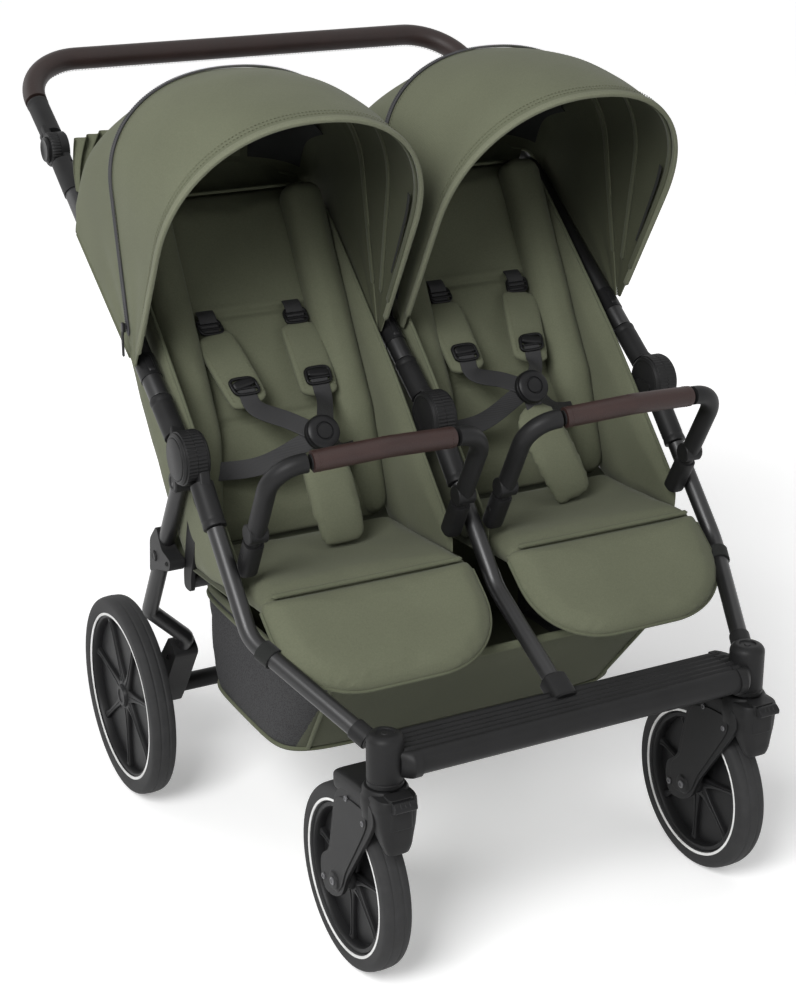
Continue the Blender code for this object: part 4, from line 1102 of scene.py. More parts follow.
    def bolts(self, px: float) -> Form:
        """Two small screws and a bolt head on each leg, and the axle's end."""
        outer = self.tyre_w / 2 + 0.009
        y, low = self.y, self.crown_low
        parts = []
        for out in (-1, 1):
            x = px + out * (outer - 0.0002)
            parts += [
                screw(x + out * 0.0016, out, y + 0.046, low + 0.006, 0.0036),
                screw(x + out * 0.0016, out, y + 0.002, low - 0.006, 0.0036),
                screw(x + out * 0.0016, out, y + 0.1130, self.wheel_r - 0.010, 0.0042),
                screw(x + out * 0.0042, out, y + self.trail, self.wheel_r, 0.0052),
            ]
        return joined(parts)

    def lock(self, px: float) -> Form:
        """The lock lever's wedge on the front of the crown, with three grip ridges."""
        top = self.post_low - GAP
        near = self.y - 0.0436
        outline = softened(
            [
                (near, top - 0.0145),
                (near, top - 0.001),
                (near - 0.0050, top - 0.0012),
                (self.y - 0.0548, top - 0.0058),
                (self.y - 0.0548, top - 0.0115),
                (near - 0.0040, top - 0.0145),
            ],
            0.002,
        )
        parts = [plate(outline, px - 0.0148, px + 0.0148)]
        for offset in (-0.006, 0.0, 0.006):
            start = (px + offset, near - 0.006, top - 0.0018)
            end = (px + offset, self.y - 0.0540, top - 0.0062)
            parts.append(rod(start, end, 0.0009, 0.0003, 12))
        return joined(parts)


END_CENTRE = np.array([-0.360, 0.318])
END_NARROWING = np.array([0.36, 0.10])
COLLAR_GROWTH = 0.0016 / 0.02


@dataclass
class FrontBar:
    """Bar between the castor posts: a round nose, and a deck with five rounded grooves."""

    bar_y: float = -0.377
    bar_z: float = 0.318
    bar_r: float = 0.0175
    deck_back: float = -0.325
    deck_top: float = 0.3345
    reach: float = 0.2372
    grooves: int = 5
    groove_depth: float = 0.0026

    def outline(self) -> Array:
        """The bar's (y, z) section, round at the front and grooved on top."""
        turn = np.radians(np.linspace(112, 318, 34))
        nose = np.stack(
            [self.bar_y + self.bar_r * np.cos(turn), self.bar_z + self.bar_r * np.sin(turn)], -1
        )
        below = self.deck_top - 0.012
        rear, deck = self.deck_back, self.deck_top
        back = softened([(rear, below), (rear, deck), (rear - 0.004, deck)], 0.001)[6:12]
        first, last = self.bar_y - 0.0045, self.deck_back - 0.004
        share = np.linspace(1, 0, 16 * self.grooves)
        y = first + (last - first) * share
        wave = np.clip(0.5 - 0.75 * np.cos(math.tau * share * self.grooves), 0, 1)
        top = np.stack([y, self.deck_top - self.groove_depth * wave], -1)
        under = [(self.bar_y + self.bar_r * 0.84, below), (self.deck_back, below)]
        return np.vstack([nose, under, back[1:], top])

    def end(self, outline: Array, x: int) -> Form:
        """The bar's round end, drawn in towards the castor post."""
        rows = []
        for share in np.linspace(0, 1, 9):
            small = END_CENTRE + (outline - END_CENTRE) * (1 - END_NARROWING * share**1.5)
            at = x * (self.reach - 0.001 + 0.0135 * share)
            rows.append(np.column_stack([np.full(len(small), at), small]))
        return grid(np.stack(rows[::x]), wrap_u=True, caps=True)

    def build(self) -> None:
        """Makes the bar with its end cheeks and the centre tube's socket."""
        outline = self.outline()
        parts = [plate(outline, -self.reach, self.reach)]
        foot = np.array([0.0, self.deck_back, self.deck_top - 0.002])
        run = unit(foot - np.array([0.0, *FRONT_BEND]))
        socket = np.array([foot + run * step for step in (-0.022, -0.008, 0.006, 0.018)])
        section = rounded_box(0.0168, 0.0152, 3.0)
        parts.append(sweep(evenly(socket, 20), section, (0, 0, 1), dome=0.004))
        for x in (-1, 1):
            middle = outline.mean(0)
            collar = middle + (outline - middle) * (1 + COLLAR_GROWTH)
            collar[:, 1] = np.minimum(collar[:, 1], self.deck_top + 0.0006)
            parts.append(plate(collar, x * (self.reach - 0.010), x * (self.reach - 0.0002)))
            parts.append(self.end(collar, x))
        bar = to_object("front_crossbar_deck", joined(parts), 30)
        dress(bar, PLASTIC, "chassis", ["front_crossbar"])


@dataclass
class FrameTubes:
    """Upper and front tubes, the bars between them, and what is clamped on them."""

    upper_r: float = 0.0135
    front_r: float = 0.0113
    socket_start: float = 0.460
    top_bar_at: float = 0.475
    canopy_at: float = 0.1497
    joint_r: float = 0.0235
    joint_w: float = 0.0125

    def build(self) -> None:
        """Makes the tubes, sockets and clips."""
        for label, x in RUNS:
            self.upper(label, x)
            self.front(label, x)
        top = upper_line(self.top_bar_at)
        reach = UPPER_X - 0.0151
        bar = to_object("back_crossbar_tube", rod((-reach, *top), (reach, *top), 0.010))
        dress(bar, PAINT, "upper_frame", ["back_crossbar"])
        low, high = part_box("seat_crossbar")
        y, z = (low.y + high.y) / 2 - HINGE_Y, (low.z + high.z) / 2
        bar = to_object("seat_crossbar_tube", rod((low.x, y, z), (high.x, y, z), 0.010))
        dress(bar, PAINT, "chassis", ["seat_crossbar"])

    def upper(self, label: str, x: float) -> None:
        """One upper tube, its canopy clip, and a side tube's handle socket."""
        tx = x * UPPER_X
        start = at_x(tx, upper_line(0.1003))
        socket_end = UPPER_LENGTH - self.joint_r - 0.002
        end = at_x(tx, upper_line(socket_end - 0.010 if x else self.top_bar_at))
        tube = to_object(f"upper_tube_metal_{label}", rod(start, end, self.upper_r))
        dress(tube, PAINT, "upper_frame", [f"upper_tube_{label}"])
        low, high = (at_x(tx, upper_line(self.canopy_at + step)) for step in (-0.019, 0.019))
        band = sweep(evenly(np.array([low, high]), 24), circle(0.0146, 40), (1, 0, 0), dome=0.0015)
        lever = sweep(
            evenly(np.array([low, high]) + [0, 0.0, 0.0], 20),
            rounded_box(0.0060, 0.0157, 4.0),
            (0, -math.sin(UPPER_ANGLE), math.cos(UPPER_ANGLE)),
            dome=0.010,
        )
        clip = to_object(f"canopy_clip_{label}", joined([band, lever]))
        dress(clip, SMOOTH_PLASTIC, "upper_frame")
        if not x:
            top = at_x(0.0, upper_line(self.top_bar_at))
            ring = [(0.0104, -0.017), (0.0150, -0.017), (0.0150, 0.017), (0.0104, 0.017)]
            saddle = lathe(ring, top, Axis.X, 48, ring=True)
            dress(to_object("back_crossbar_saddle", saddle, 30), PLASTIC, "upper_frame")
            return
        joint = upper_line(UPPER_LENGTH)
        face = tx - x * GAP / 2
        drum = [
            (0.0, self.joint_w),
            (self.joint_r * 0.45, self.joint_w),
            (self.joint_r * 0.5, self.joint_w - 0.0012),
            (self.joint_r * 0.80, self.joint_w - 0.0012),
            (self.joint_r * 0.86, self.joint_w),
            (self.joint_r - 0.0015, self.joint_w),
            (self.joint_r, self.joint_w - 0.0015),
            (self.joint_r, 0.0),
            (0.0, 0.0),
        ]
        parts = [lathe(drum, (face, *joint), (-x, 0, 0), 64)]
        ends = [at_x(tx, upper_line(along)) for along in (self.socket_start, socket_end)]
        socket = evenly(np.array(ends), 30)
        parts.append(sweep(socket, circle(0.0148, 40), (1, 0, 0), dome=0.002))
        neck_x = face - x * self.joint_w / 2
        ends = [at_x(neck_x, upper_line(UPPER_LENGTH - d)) for d in (0.034, 0.010)]
        neck = evenly(np.array(ends), 12)
        parts.append(sweep(neck, rounded_box(0.0130, 0.0055, 5.0), (1, 0, 0)))
        socket_piece = to_object(f"handle_socket_{label}", joined(parts))
        dress(socket_piece, PLASTIC, "upper_frame")

    def front(self, label: str, x: float) -> None:
        """One front tube, bent below the seat towards its castor post or the deck."""
        start = at_x(x * FRONT_X, front_line(0.1003))
        bend = at_x(x * FRONT_X, FRONT_BEND)
        if x:
            post = np.array([x * 0.260, -0.360, 0.327])
            run = unit(post - bend)
            foot = post - run * (0.0225 + GAP) / math.hypot(run[0], run[1])
        else:
            foot = np.array([0.0, -0.325, 0.3325])
            foot = foot - unit(foot - bend) * 0.021
        path = evenly(route([start, bend, foot], 0.060, 24), 70)
        tube = to_object(f"front_tube_metal_{label}", sweep(path, circle(self.front_r, 36)))
        dress(tube, PAINT, "chassis", [f"front_tube_{label}"])
        if x:
            tip = evenly(np.array([foot - unit(foot - path[-8]) * 0.026, foot]), 16)
            collar = sweep(tip, circle(self.front_r + 0.0021, 36), dome=0.002)
            dress(to_object(f"front_tube_collar_{label}", collar), PLASTIC, "chassis")


@dataclass
class Hinges:
    """The three round fold hinges, each of two fluted halves with a flat cap and two sleeves."""

    drum_r: float = 0.035
    width: float = 0.036
    sleeve_r: float = 0.0152
    flutes: int = 44

    def build(self) -> None:
        """Makes both halves of each hinge."""
        for label, x in RUNS:
            for half in ("lower", "upper"):
                piece = to_object(f"hinge_{half}_housing_{label}", self.half(half, x), 35)
                body = "chassis" if half == "lower" else "upper_frame"
                dress(bevel(piece, 0.0006, 2), PLASTIC, body, [f"hinge_{half}_{label}"])

    def half(self, half: str, x: float) -> Form:
        """One half: the drum's outside is towards the middle below, and away from it above."""
        out = (x or 1.0) * (1 if half == "upper" else -1)
        centre = np.array([x * HINGE_X, 0.0, HINGE_Z])
        depth = self.width / 2
        r = self.drum_r
        proud = 0.0012 if half == "upper" and x else 0.0
        drum = [
            (0.0, GAP / 2),
            (r - 0.0006, GAP / 2),
            (r, GAP / 2 + 0.0006),
            (r, depth * 0.62),
            (r - 0.0006, depth * 0.70),
            (r - 0.0022, depth * 0.74),
            (r - 0.0022, depth - 0.0024),
            (r - 0.0050, depth),
            (r - 0.0072, depth - 0.0001),
            (r - 0.0076, depth - 0.0010),
            (r - 0.0080, depth + proud - 0.0006),
            (r - 0.0090, depth + proud),
            (0.0, depth + proud),
        ]
        body = lathe(drum, centre, (out, 0, 0), self.flutes * 6)
        parts = [fluted(body, centre, r - 0.0004, self.flutes, 0.0011)]
        span = sorted((centre[0] + out * GAP / 2, centre[0] + out * depth))
        middle = sum(span) / 2
        line = upper_line if half == "upper" else front_line
        tube_x = x * (UPPER_X if half == "upper" else FRONT_X)
        ends = np.array([at_x(middle, line(r - 0.014)), at_x(tube_x, line(r + 0.010))])
        neck = evenly(ends, 12)
        wide = np.linspace(0.0190, 0.0145, 12)
        halves = np.stack([wide, np.full(12, depth / 2 - 0.0008)], -1)
        section = rounded_box(1.0, 1.0, 5.0)[None] * halves[:, None]
        parts.append(sweep(neck, section, (1, 0, 0)))
        sleeve = evenly(np.array([at_x(tube_x, line(r + 0.002)), at_x(tube_x, line(0.100))]), 40)
        along = np.linspace(0, 1, 40)
        lip = 0.03 * np.exp(-(((along - 0.93) / 0.05) ** 2))
        size = 1 + lip - 0.03 * np.exp(-(((along - 0.83) / 0.02) ** 2))
        parts.append(sweep(sleeve, circle(self.sleeve_r - 0.0004, 40), (1, 0, 0), size, 0.0015))
        if half == "lower" and x:
            parts.append(self.lug(x))
        return joined(parts)

    def lug(self, x: float) -> Form:
        """The plate that holds the rear leg's pivot and the bar under the seats."""
        py, pz = 0.036, HINGE_Z - 0.0435
        sy, sz = 0.060, HINGE_Z - 0.1495 - 0.034 - 0.010 - GAP
        outline = [(-0.020, HINGE_Z), (0.016, HINGE_Z), (py + 0.014, pz), (py + 0.004, pz - 0.020)]
        outline += [(sy + 0.012, sz + 0.010), (sy + 0.012, sz - 0.012)]
        outline += [(sy - 0.012, sz - 0.012), (sy - 0.014, sz + 0.012)]
        return plate(softened(outline, 0.008), x * (HINGE_X - 0.020), x * (HINGE_X - 0.014))


@dataclass
class Handle:
    """Hide-covered bar across the back, on two tilting arms with push buttons."""

    angle: float = math.radians(31.9)
    length: float = 0.1845
    grip_r: float = 0.0158
    arm_r: float = 0.0148
    arm_end: float = 0.096
    corner_r: float = 0.085
    joint_r: float = 0.0235
    joint_w: float = 0.0125

    def at(self, x: float, distance: float) -> Array:
        """A point of the handle's plane."""
        y, z = upper_line(UPPER_LENGTH)
        ahead, up = math.cos(self.angle), math.sin(self.angle)
        return np.array([x, y + distance * ahead, z + distance * up])

    def build(self) -> None:
        """Makes the grip with its seam, and both arms."""
        corners = [
            self.at(-HINGE_X, self.arm_end + GAP),
            self.at(-HINGE_X, self.length),
            self.at(HINGE_X, self.length),
            self.at(HINGE_X, self.arm_end + GAP),
        ]
        path = evenly(route(corners, self.corner_r, 30), 260)
        share = np.linspace(0, 1, 260)
        ends = np.minimum(share, 1 - share)
        size = 0.985 + 0.012 * np.clip(ends / 0.01, 0, 1)
        cover = sweep(path, circle(self.grip_r, 48), None, size, 0.002)
        grip = to_object("handle_grip_cover", cover)
        dress(grip, DARK_HIDE, "handle", ["handle_grip"])
        _, across, up = frames(path)
        low = -np.sign(up[130, 2]) * up
        inside = across * np.sign(np.sum(across[130] * [0, -1, -0.4]))
        seam_out = unit(low * 0.9 + inside * 0.45)
        seam = path + seam_out * (self.grip_r + 0.0001) * size[:, None]
        rows = [
            stitches(seam[3:-3] + inside[3:-3] * off, seam_out[3:-3]) for off in (-0.0022, 0.0022)
        ]
        dress(to_object("handle_grip_stitches", joined(rows)), HIDE_THREAD, "handle")
        for side in Side:
            self.arm(side)

    def arm(self, side: Side) -> None:
        """A tilting arm: disc, neck, tube with an end collar, and its push button."""
        x, s = side.value, side.label
        joint = upper_line(UPPER_LENGTH)
        inner = x * (UPPER_X + GAP / 2)
        depth, r = self.joint_w, self.joint_r
        recess = depth - 0.0015 - 0.0028
        disc = [
            (0.0, 0.0),
            (r, 0.0),
            (r, depth - 0.0020),
            (r - 0.0020, depth),
            (0.0179, depth),
            (0.0178, recess),
            (0.0, recess),
        ]
        face = (inner, *joint)
        body = fluted(lathe(disc, face, (x, 0, 0), 216), face, r - 0.0005, 36, 0.0008)
        ends = [self.at(x * HINGE_X, along) for along in (r + 0.002, self.arm_end)]
        arm_path = evenly(np.array(ends), 40)
        share = np.linspace(0, 1, 40)
        size = 1 + 0.05 * np.exp(-(((share - 0.95) / 0.04) ** 2))
        neck_x = inner + x * depth / 2
        neck = evenly(np.array([self.at(neck_x, 0.017), self.at(neck_x, 0.036)]), 10)
        parts = [
            body,
            sweep(arm_path, circle(self.arm_r, 40), (1, 0, 0), size, 0.002),
            sweep(neck, rounded_box(0.0130, 0.0055, 5.0), (1, 0, 0)),
        ]
        housing = to_object(f"handle_arm_housing_{s}", joined(parts))
        dress(housing, PLASTIC, "handle", [f"handle_arm_{s}"])
        outer = inner + x * depth
        button = [
            (0.0, -0.0015),
            (0.0172, -0.0015),
            (0.0172, 0.0035),
            (0.0155, 0.0055),
            (0.0120, 0.0055),
            (0.0100, 0.0046),
            (0.0, 0.0042),
        ]
        cap = to_object(f"handle_button_cap_{s}", lathe(button, (outer, *joint), (x, 0, 0), 56))
        dress(cap, SMOOTH_PLASTIC, f"button_{s}", [f"handle_button_{s}"])


@dataclass
class RearFrame:
    """Rear legs, axle beam with its brake housings, pedal and rear wheels."""

    axle_y: float = 0.278
    wheel_r: float = 0.1455
    wheel_x: float = 0.350
    tyre_w: float = 0.036
    leg_x: float = 0.348
    leg_r: float = 0.0112
    housing_x: float = 0.2925
    housing_half: float = 0.0175

    def build(self) -> None:
        """Makes the rear frame's pieces."""
        for side in Side:
            self.leg(side)
            s = side.label
            centre = (side.value * self.wheel_x, self.axle_y, self.wheel_r)
            Wheel("rear", side, centre, self.tyre_w, f"rear_wheel_{s}", seen=side.value).build()
        beam = to_object("rear_axle_housings", self.axle(), 45)
        dress(bevel(beam, 0.0014), PLASTIC, "rear_frame", ["rear_axle"])
        pedal = to_object("brake_pedal_pad", self.pedal(), 45)
        dress(bevel(pedal, 0.0008), SMOOTH_PLASTIC, "brake", ["brake_pedal"])

    def neck(self) -> tuple[Array, Array, Array]:
        """The housing's top, the direction to the axle, and the one across it."""
        neck = np.array([0.0, self.axle_y - 0.079, self.wheel_r + 0.1005])
        run = unit(np.array([0.0, self.axle_y, self.wheel_r]) - neck)
        return neck, run, np.array([0.0, -run[2], run[1]])

    def leg(self, side: Side) -> None:
        """A leg, bent in above its housing, with its eye and its moulded bracket."""
        x, s = side.value, side.label
        neck, run, _ = self.neck()
        eye = np.array([x * self.leg_x, 0.036, HINGE_Z - 0.0435])
        knee = np.array([x * self.leg_x, neck[1] - 0.021, neck[2] + 0.070])
        foot = np.array([x * self.housing_x, 0, 0]) + neck - run * GAP
        path = evenly(route([eye, knee, foot - run * 0.018, foot], 0.014, 14), 80)
        leg = to_object(f"rear_leg_tube_{s}", sweep(path, circle(self.leg_r, 36), (1, 0, 0.02)))
        dress(leg, PAINT, "rear_frame", [f"rear_leg_{s}"])
        down = unit(knee - eye)
        middle = eye + down * 0.150
        bracket = np.array(
            [
                (middle[1] - 0.010, middle[2] + 0.046),
                (middle[1] + 0.016, middle[2] + 0.020),
                (middle[1] + 0.022, middle[2] - 0.030),
                (middle[1] - 0.004, middle[2] - 0.018),
                (middle[1] - 0.052, middle[2] - 0.004),
                (middle[1] - 0.058, middle[2] + 0.012),
                (middle[1] - 0.026, middle[2] + 0.018),
            ]
        )
        parts = [
            plate(softened(bracket, 0.007), x * (self.leg_x - 0.009), x * (self.leg_x + 0.0122)),
            button_head(x * (self.leg_x + 0.0120), x, middle[1], middle[2], 0.0075, 0.0025),
        ]
        parts.append(screw(x * (self.leg_x + 0.0121), x, middle[1] - 0.044, middle[2] + 0.004))
        eye_x = x * (self.leg_x - 0.0137)
        ring = [(0.0, 0.0), (0.0138, 0.0), (0.0138, 0.024), (0.0122, 0.0257)]
        ring += [(0.0080, 0.0257), (0.0074, 0.0247), (0.0, 0.0247)]
        parts.append(lathe(ring, (eye_x, eye[1], eye[2]), (x, 0, 0), 48))
        bracket_piece = to_object(f"rear_leg_bracket_{s}", joined(parts), 45)
        dress(bevel(bracket_piece, 0.0012), PLASTIC, "rear_frame")

    def axle(self) -> Form:
        """Beam, and a wedge-shaped housing with a round foot at each end."""
        neck, run, across = self.neck()
        axle = np.array([0.0, self.axle_y, self.wheel_r])
        reach = self.housing_x + 0.010
        parts = [rod((-reach, *axle[1:]), (reach, *axle[1:]), 0.0130, 0.0008, 40)]
        corners = [
            neck - across * 0.0155,
            neck - across * 0.0170 + run * 0.030,
            axle - across * 0.0215 - run * 0.030,
            axle - across * 0.0215 + run * 0.012,
            axle - across * 0.008 + run * 0.0235,
            axle + across * 0.008 + run * 0.0235,
            axle + across * 0.0215 + run * 0.012,
            axle + across * 0.0215 - run * 0.030,
            neck + across * 0.0170 + run * 0.030,
            neck + across * 0.0155,
        ]
        outline = softened(np.array([corner[1:] for corner in corners]), 0.009)
        for x in (-1, 1):
            half = self.housing_half
            parts.append(plate(outline, x * (self.housing_x - half), x * (self.housing_x + half)))
            for out in (-1, 1):
                face = x * self.housing_x + out * half
                parts.append(button_head(face, out, axle[1], axle[2], 0.0150, 0.0014))
                spot = neck + run * 0.034
                parts.append(screw(face, out, spot[1], spot[2], 0.0036))
            flat = self.wheel_x - self.tyre_w / 2 + 0.0046
            parts.append(rod((x * self.housing_x, *axle[1:]), (x * flat, *axle[1:]), 0.0105))
        return joined(parts)

    def pedal(self) -> Form:
        """A wide pedal on a round root, with four grip ridges."""
        root_y = self.axle_y + 0.013 + GAP + 0.005
        turn = np.radians(np.linspace(75, 285, 12))
        outline = [(root_y + 0.005 * math.cos(a), self.wheel_r + 0.005 * math.sin(a)) for a in turn]
        outline += [
            (root_y + 0.020, self.wheel_r - 0.002),
            (root_y + 0.060, self.wheel_r + 0.002),
            (root_y + 0.060, self.wheel_r + 0.0085),
            (root_y + 0.020, self.wheel_r + 0.0085),
        ]
        parts = [plate(outline, -0.0548, 0.0548)]
        for step in (0.030, 0.038, 0.046, 0.054):
            y, z = root_y + step, self.wheel_r + 0.0080
            parts.append(rod((-0.045, y, z), (0.045, y, z), 0.0011, 0.0004, 12))
        return joined(parts)


# Soft parts.

BACK_ANGLE = math.radians(60)
BACK_FACE = np.array([0.0, -math.sin(BACK_ANGLE), math.cos(BACK_ANGLE)])
SEAT_FRONT, SEAT_BACK = (-0.150, HINGE_Z - 0.136), (0.062, HINGE_Z - 0.1495)
BACK_LENGTH, BACK_HALF = 0.485, 0.132


def world(point: ArrayLike) -> tuple[float, ...]:
    """A point measured from the hinge, in the frame's own place."""
    return tuple(np.asarray(point, float) + [0.0, HINGE_Y, 0.0])


def along_back(distance: Array | float, forward: Array | float = 0.0) -> tuple[Array, Array]:
    """(y, z) up a backrest's front, forward square to it."""
    c, s = math.cos(BACK_ANGLE), math.sin(BACK_ANGLE)
    y = SEAT_BACK[0] + 2 * GAP + distance * c - forward * s
    z = SEAT_BACK[1] - 0.006 + GAP + distance * s + forward * c
    return y, z


def on_back(x: Array | float, distance: Array | float, forward: Array | float = 0.0) -> Array:
    """Points at x, up a backrest's front."""
    y, z = along_back(distance, forward)
    return np.stack(np.broadcast_arrays(x, y, z), -1)


def simulated(
    obj: bpy.types.Object, cap: float, out: ArrayLike, under: float = 1.0
) -> bpy.types.Object:
    """Fills a pad: its cloth swells under inner pressure for 20 steps and wrinkles as it settles.

    Args:
        obj: The pad, a closed mesh at the origin.
        cap: The furthest that any point may move.
        out: The direction of its thickness. Its sewn rim, which faces away from that, stays.
        under: How freely its other face moves.
    """
    scene = bpy.context.scene
    step = obj.modifiers.new("even faces", "REMESH")
    step.mode = "VOXEL"
    step.voxel_size = 0.0055
    graph = bpy.context.evaluated_depsgraph_get()
    even = bpy.data.meshes.new_from_object(obj.evaluated_get(graph))
    obj.modifiers.clear()
    obj.data = even
    rest = coordinates(obj)
    normals = np.empty(rest.size)
    even.vertices.foreach_get("normal", normals)
    facing = normals.reshape(-1, 3) @ unit(np.asarray(out, float))
    free = np.clip(np.abs(facing) * 1.3 - 0.2, 0, 1) * np.where(facing > 0, 1.0, under)
    cloth = obj.modifiers.new("filling", "CLOTH")
    cloth.settings.quality = 4
    cloth.settings.mass = 0.12
    cloth.settings.tension_stiffness = 14
    cloth.settings.compression_stiffness = 6
    cloth.settings.shear_stiffness = 4
    cloth.settings.bending_stiffness = 0.4
    cloth.settings.use_pressure = True
    cloth.settings.uniform_pressure_force = 4.0
    cloth.settings.effector_weights.gravity = 0.0
    cloth.collision_settings.use_collision = False
    cloth.point_cache.frame_start, cloth.point_cache.frame_end = 1, 20
    for number in range(1, 21):
        scene.frame_set(number)
    graph = bpy.context.evaluated_depsgraph_get()
    swollen = coordinates(obj.evaluated_get(graph))
    obj.modifiers.clear()
    scene.frame_set(1)
    move = swollen - rest
    length = np.maximum(np.linalg.norm(move, axis=1, keepdims=True), 1e-9)
    move *= np.minimum(1, cap / length) * free[:, None]
    place(obj, rest + move)
    obj.data.shade_smooth()
    LOG.info("%s filled, moved by up to %.1f mm", obj.name, 1000 * float(np.abs(move).max()))
    return subdivide(obj)


def coordinates(obj: bpy.types.Object) -> Array:
    """The mesh's points."""
    mesh = obj.data
    flat = np.empty(len(mesh.vertices) * 3)
    mesh.vertices.foreach_get("co", flat)
    return flat.reshape(-1, 3)


def place(obj: bpy.types.Object, points: Array) -> None:
    """Moves the mesh's points."""
    obj.data.vertices.foreach_set("co", points.ravel())
    obj.data.update()


def sew(obj: bpy.types.Object, push: Callable[[Array], Array]) -> None:
    """Sews channels into a pad: push takes points from the hinge and gives their moves."""
    points = coordinates(obj) - [0.0, HINGE_Y, 0.0]
    place(obj, points + push(points) + [0.0, HINGE_Y, 0.0])


def ridge(distance: Array, width: float) -> Array:
    """1 on a line, and e^-(d/w)^2 at a distance from it."""
    return np.exp(-((distance / width) ** 2))


@dataclass
class Seat:
    """Seat pad, side wings, backrest with side bolsters, and leg rest."""

    side: Side
    pad_half: float = 0.146
    back_seams: tuple[float, float] = (0.161, 0.3060)
    leg_end: tuple[float, float] = (-0.262, HINGE_Z - 0.2295)

    @property
    def cx(self) -> float:
        """The seat's middle."""
        return self.side.value * SEAT_X

    def build(self) -> None:
        """Makes the seat's soft pieces."""
        self.pad()
        for out in (-1, 1):
            self.wing(out)
        self.back()
        for out in (-1, 1):
            self.bolster(out)
        self.leg_rest()

    def pad(self) -> None:
        """The seat pad, slightly uneven as it is sat in, with piping along its front."""
        s, cx = self.side.label, self.cx
        front, rear = np.array(SEAT_FRONT), np.array(SEAT_BACK)
        half = self.pad_half - 0.0015

        def edge(x: float) -> Callable[[Array], Array]:
            """The pad's side edge at one X."""

            def line(t: Array) -> Array:
                """Its points from front to rear, at shares of the length."""
                yz = front + (rear - front) * t[:, None] + [0.0, -0.0195]
                return np.column_stack([np.full(len(t), x), yz])

            return line

        form = pillow(edge(cx - half), edge(cx + half), (0, 0.06, 1), 0.031, (64, 64), 30.0)
        pad = to_object(f"seat_pad_{s}", form)

        simulated(pad, 0.005, (0, 0, 1), 0.1)

        def folds(points: Array) -> Array:
            """Waves the cloth of the pad's upper face up and down."""
            rise = 0.0012 * wobble(points, 0.075, 2.0 + self.side.value)
            rise = rise * (points[:, 2] > front[1] - 0.018)
            return np.column_stack([0 * rise, 0 * rise, rise])

        sew(pad, folds)
        dress(pad, OLIVE, "chassis", [f"seat_liner_{s}"])
        x, v = np.linspace(cx - 0.1590, cx + 0.1590, 60)[None, :], np.linspace(0, 1, 30)[:, None]
        y = -0.095 + 0.225 * v
        sink = -0.1605 - 0.0637 * (y + 0.150) + 0.026 * np.clip((y - 0.055) / 0.075, 0, 1) ** 2
        rows = np.stack(np.broadcast_arrays(x, y, HINGE_Z + sink), -1)
        under = to_object(f"seat_rear_web_{s}", shell(rows, rows + [0, 0, 0.0016]))
        dress(under, OLIVE_LINING, "chassis")
        x = np.linspace(cx - half + 0.010, cx + half - 0.010, 60)
        line = np.column_stack([x, np.full(60, front[0] - 0.0004), np.full(60, front[1] - 0.0052)])
        piping = to_object(f"seat_piping_{s}", sweep(line, circle(0.0036, 14), dome=0.002))
        dress(piping, OLIVE_PIPING, "chassis")

    def wing(self, out: int) -> None:
        """A side wing from the seat's front edge up beside the backrest, with piping on its top.
        """
        s, cx = self.side.label, self.cx
        upper = [(-0.104, -0.1330), (-0.034, -0.0590), (0.060, 0.0400)]
        upper += [(0.150, 0.1230), (0.235, 0.1980), (0.288, 0.2420)]
        lower = [(-0.104, -0.1600), (0.056, -0.1735), (0.106, -0.1440)]
        lower += [(0.150, -0.0900), (0.250, 0.0500), (0.312, 0.2000)]
        outside = out == self.side.value
        inner, outer = 0.1425, 0.1600 if outside else 0.1535
        x = cx + out * (inner + outer) / 2

        def edge(points: list[tuple[float, float]]) -> Callable[[Array], Array]:
            """The wing's edge as a curve through (y, rise) points."""
            path = evenly(curve_through([(x, y, HINGE_Z + rise) for y, rise in points], 120), 200)

            def line(t: Array) -> Array:
                """Its points at shares of the length."""
                share = np.linspace(0, 1, 200)
                return np.stack([np.interp(t, share, path[:, k]) for k in range(3)], -1)

            return line

        name = f"seat_wing_{'outer' if outside else 'inner'}_{s}"
        form = pillow(edge(lower), edge(upper), (-out, 0, 0), outer - inner, (90, 40), 4.0)
        wing = to_object(name, form)
        simulated(wing, 0.0035, (-out, 0, 0), 0.3)

        def waves(points: Array) -> Array:
            """Moves the wing's cloth sideways."""
            push = 0.0011 * wobble(points, 0.055, 3.0 + out + self.side.value)
            return np.column_stack([push, 0 * push, 0 * push])

        sew(wing, waves)
        rim = edge(upper)(np.linspace(0.02, 0.98, 120))
        piping = to_object(f"{name}_piping", sweep(rim, circle(0.0024, 14), (1, 0, 0), dome=0.002))
        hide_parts(f"seat_liner_{s}")
        for made, finish in ((wing, OLIVE), (piping, OLIVE_PIPING)):
            made.data.materials.append(finish.material())
            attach(made, "chassis")
            world((cx, 0.0, HINGE_Z - 0.150))
            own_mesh(made)

    def back(self) -> None:
        """The backrest: three sewn fields, stitched seams, and a piped top edge."""
        s, cx = self.side.label, self.cx

        def edge(out: int) -> Callable[[Array], Array]:
            """The backrest's edge on one side."""

            def line(t: Array) -> Array:
                """Its points from the foot up, at shares of the length."""
                half = (BACK_HALF - 0.0015) * (1 - 0.05 * t)
                return on_back(cx + out * half, BACK_LENGTH * (0.006 + 0.988 * t), -0.0125)

            return line

        form = pillow(edge(-1), edge(1), BACK_FACE, 0.033, (110, 64), 10.0)
        back = to_object(f"backrest_pad_{s}", form)
        simulated(back, 0.005, BACK_FACE, 0.1)
        start = np.array([0.0, *along_back(0.0)])
        run = np.array([0.0, math.cos(BACK_ANGLE), math.sin(BACK_ANGLE)])

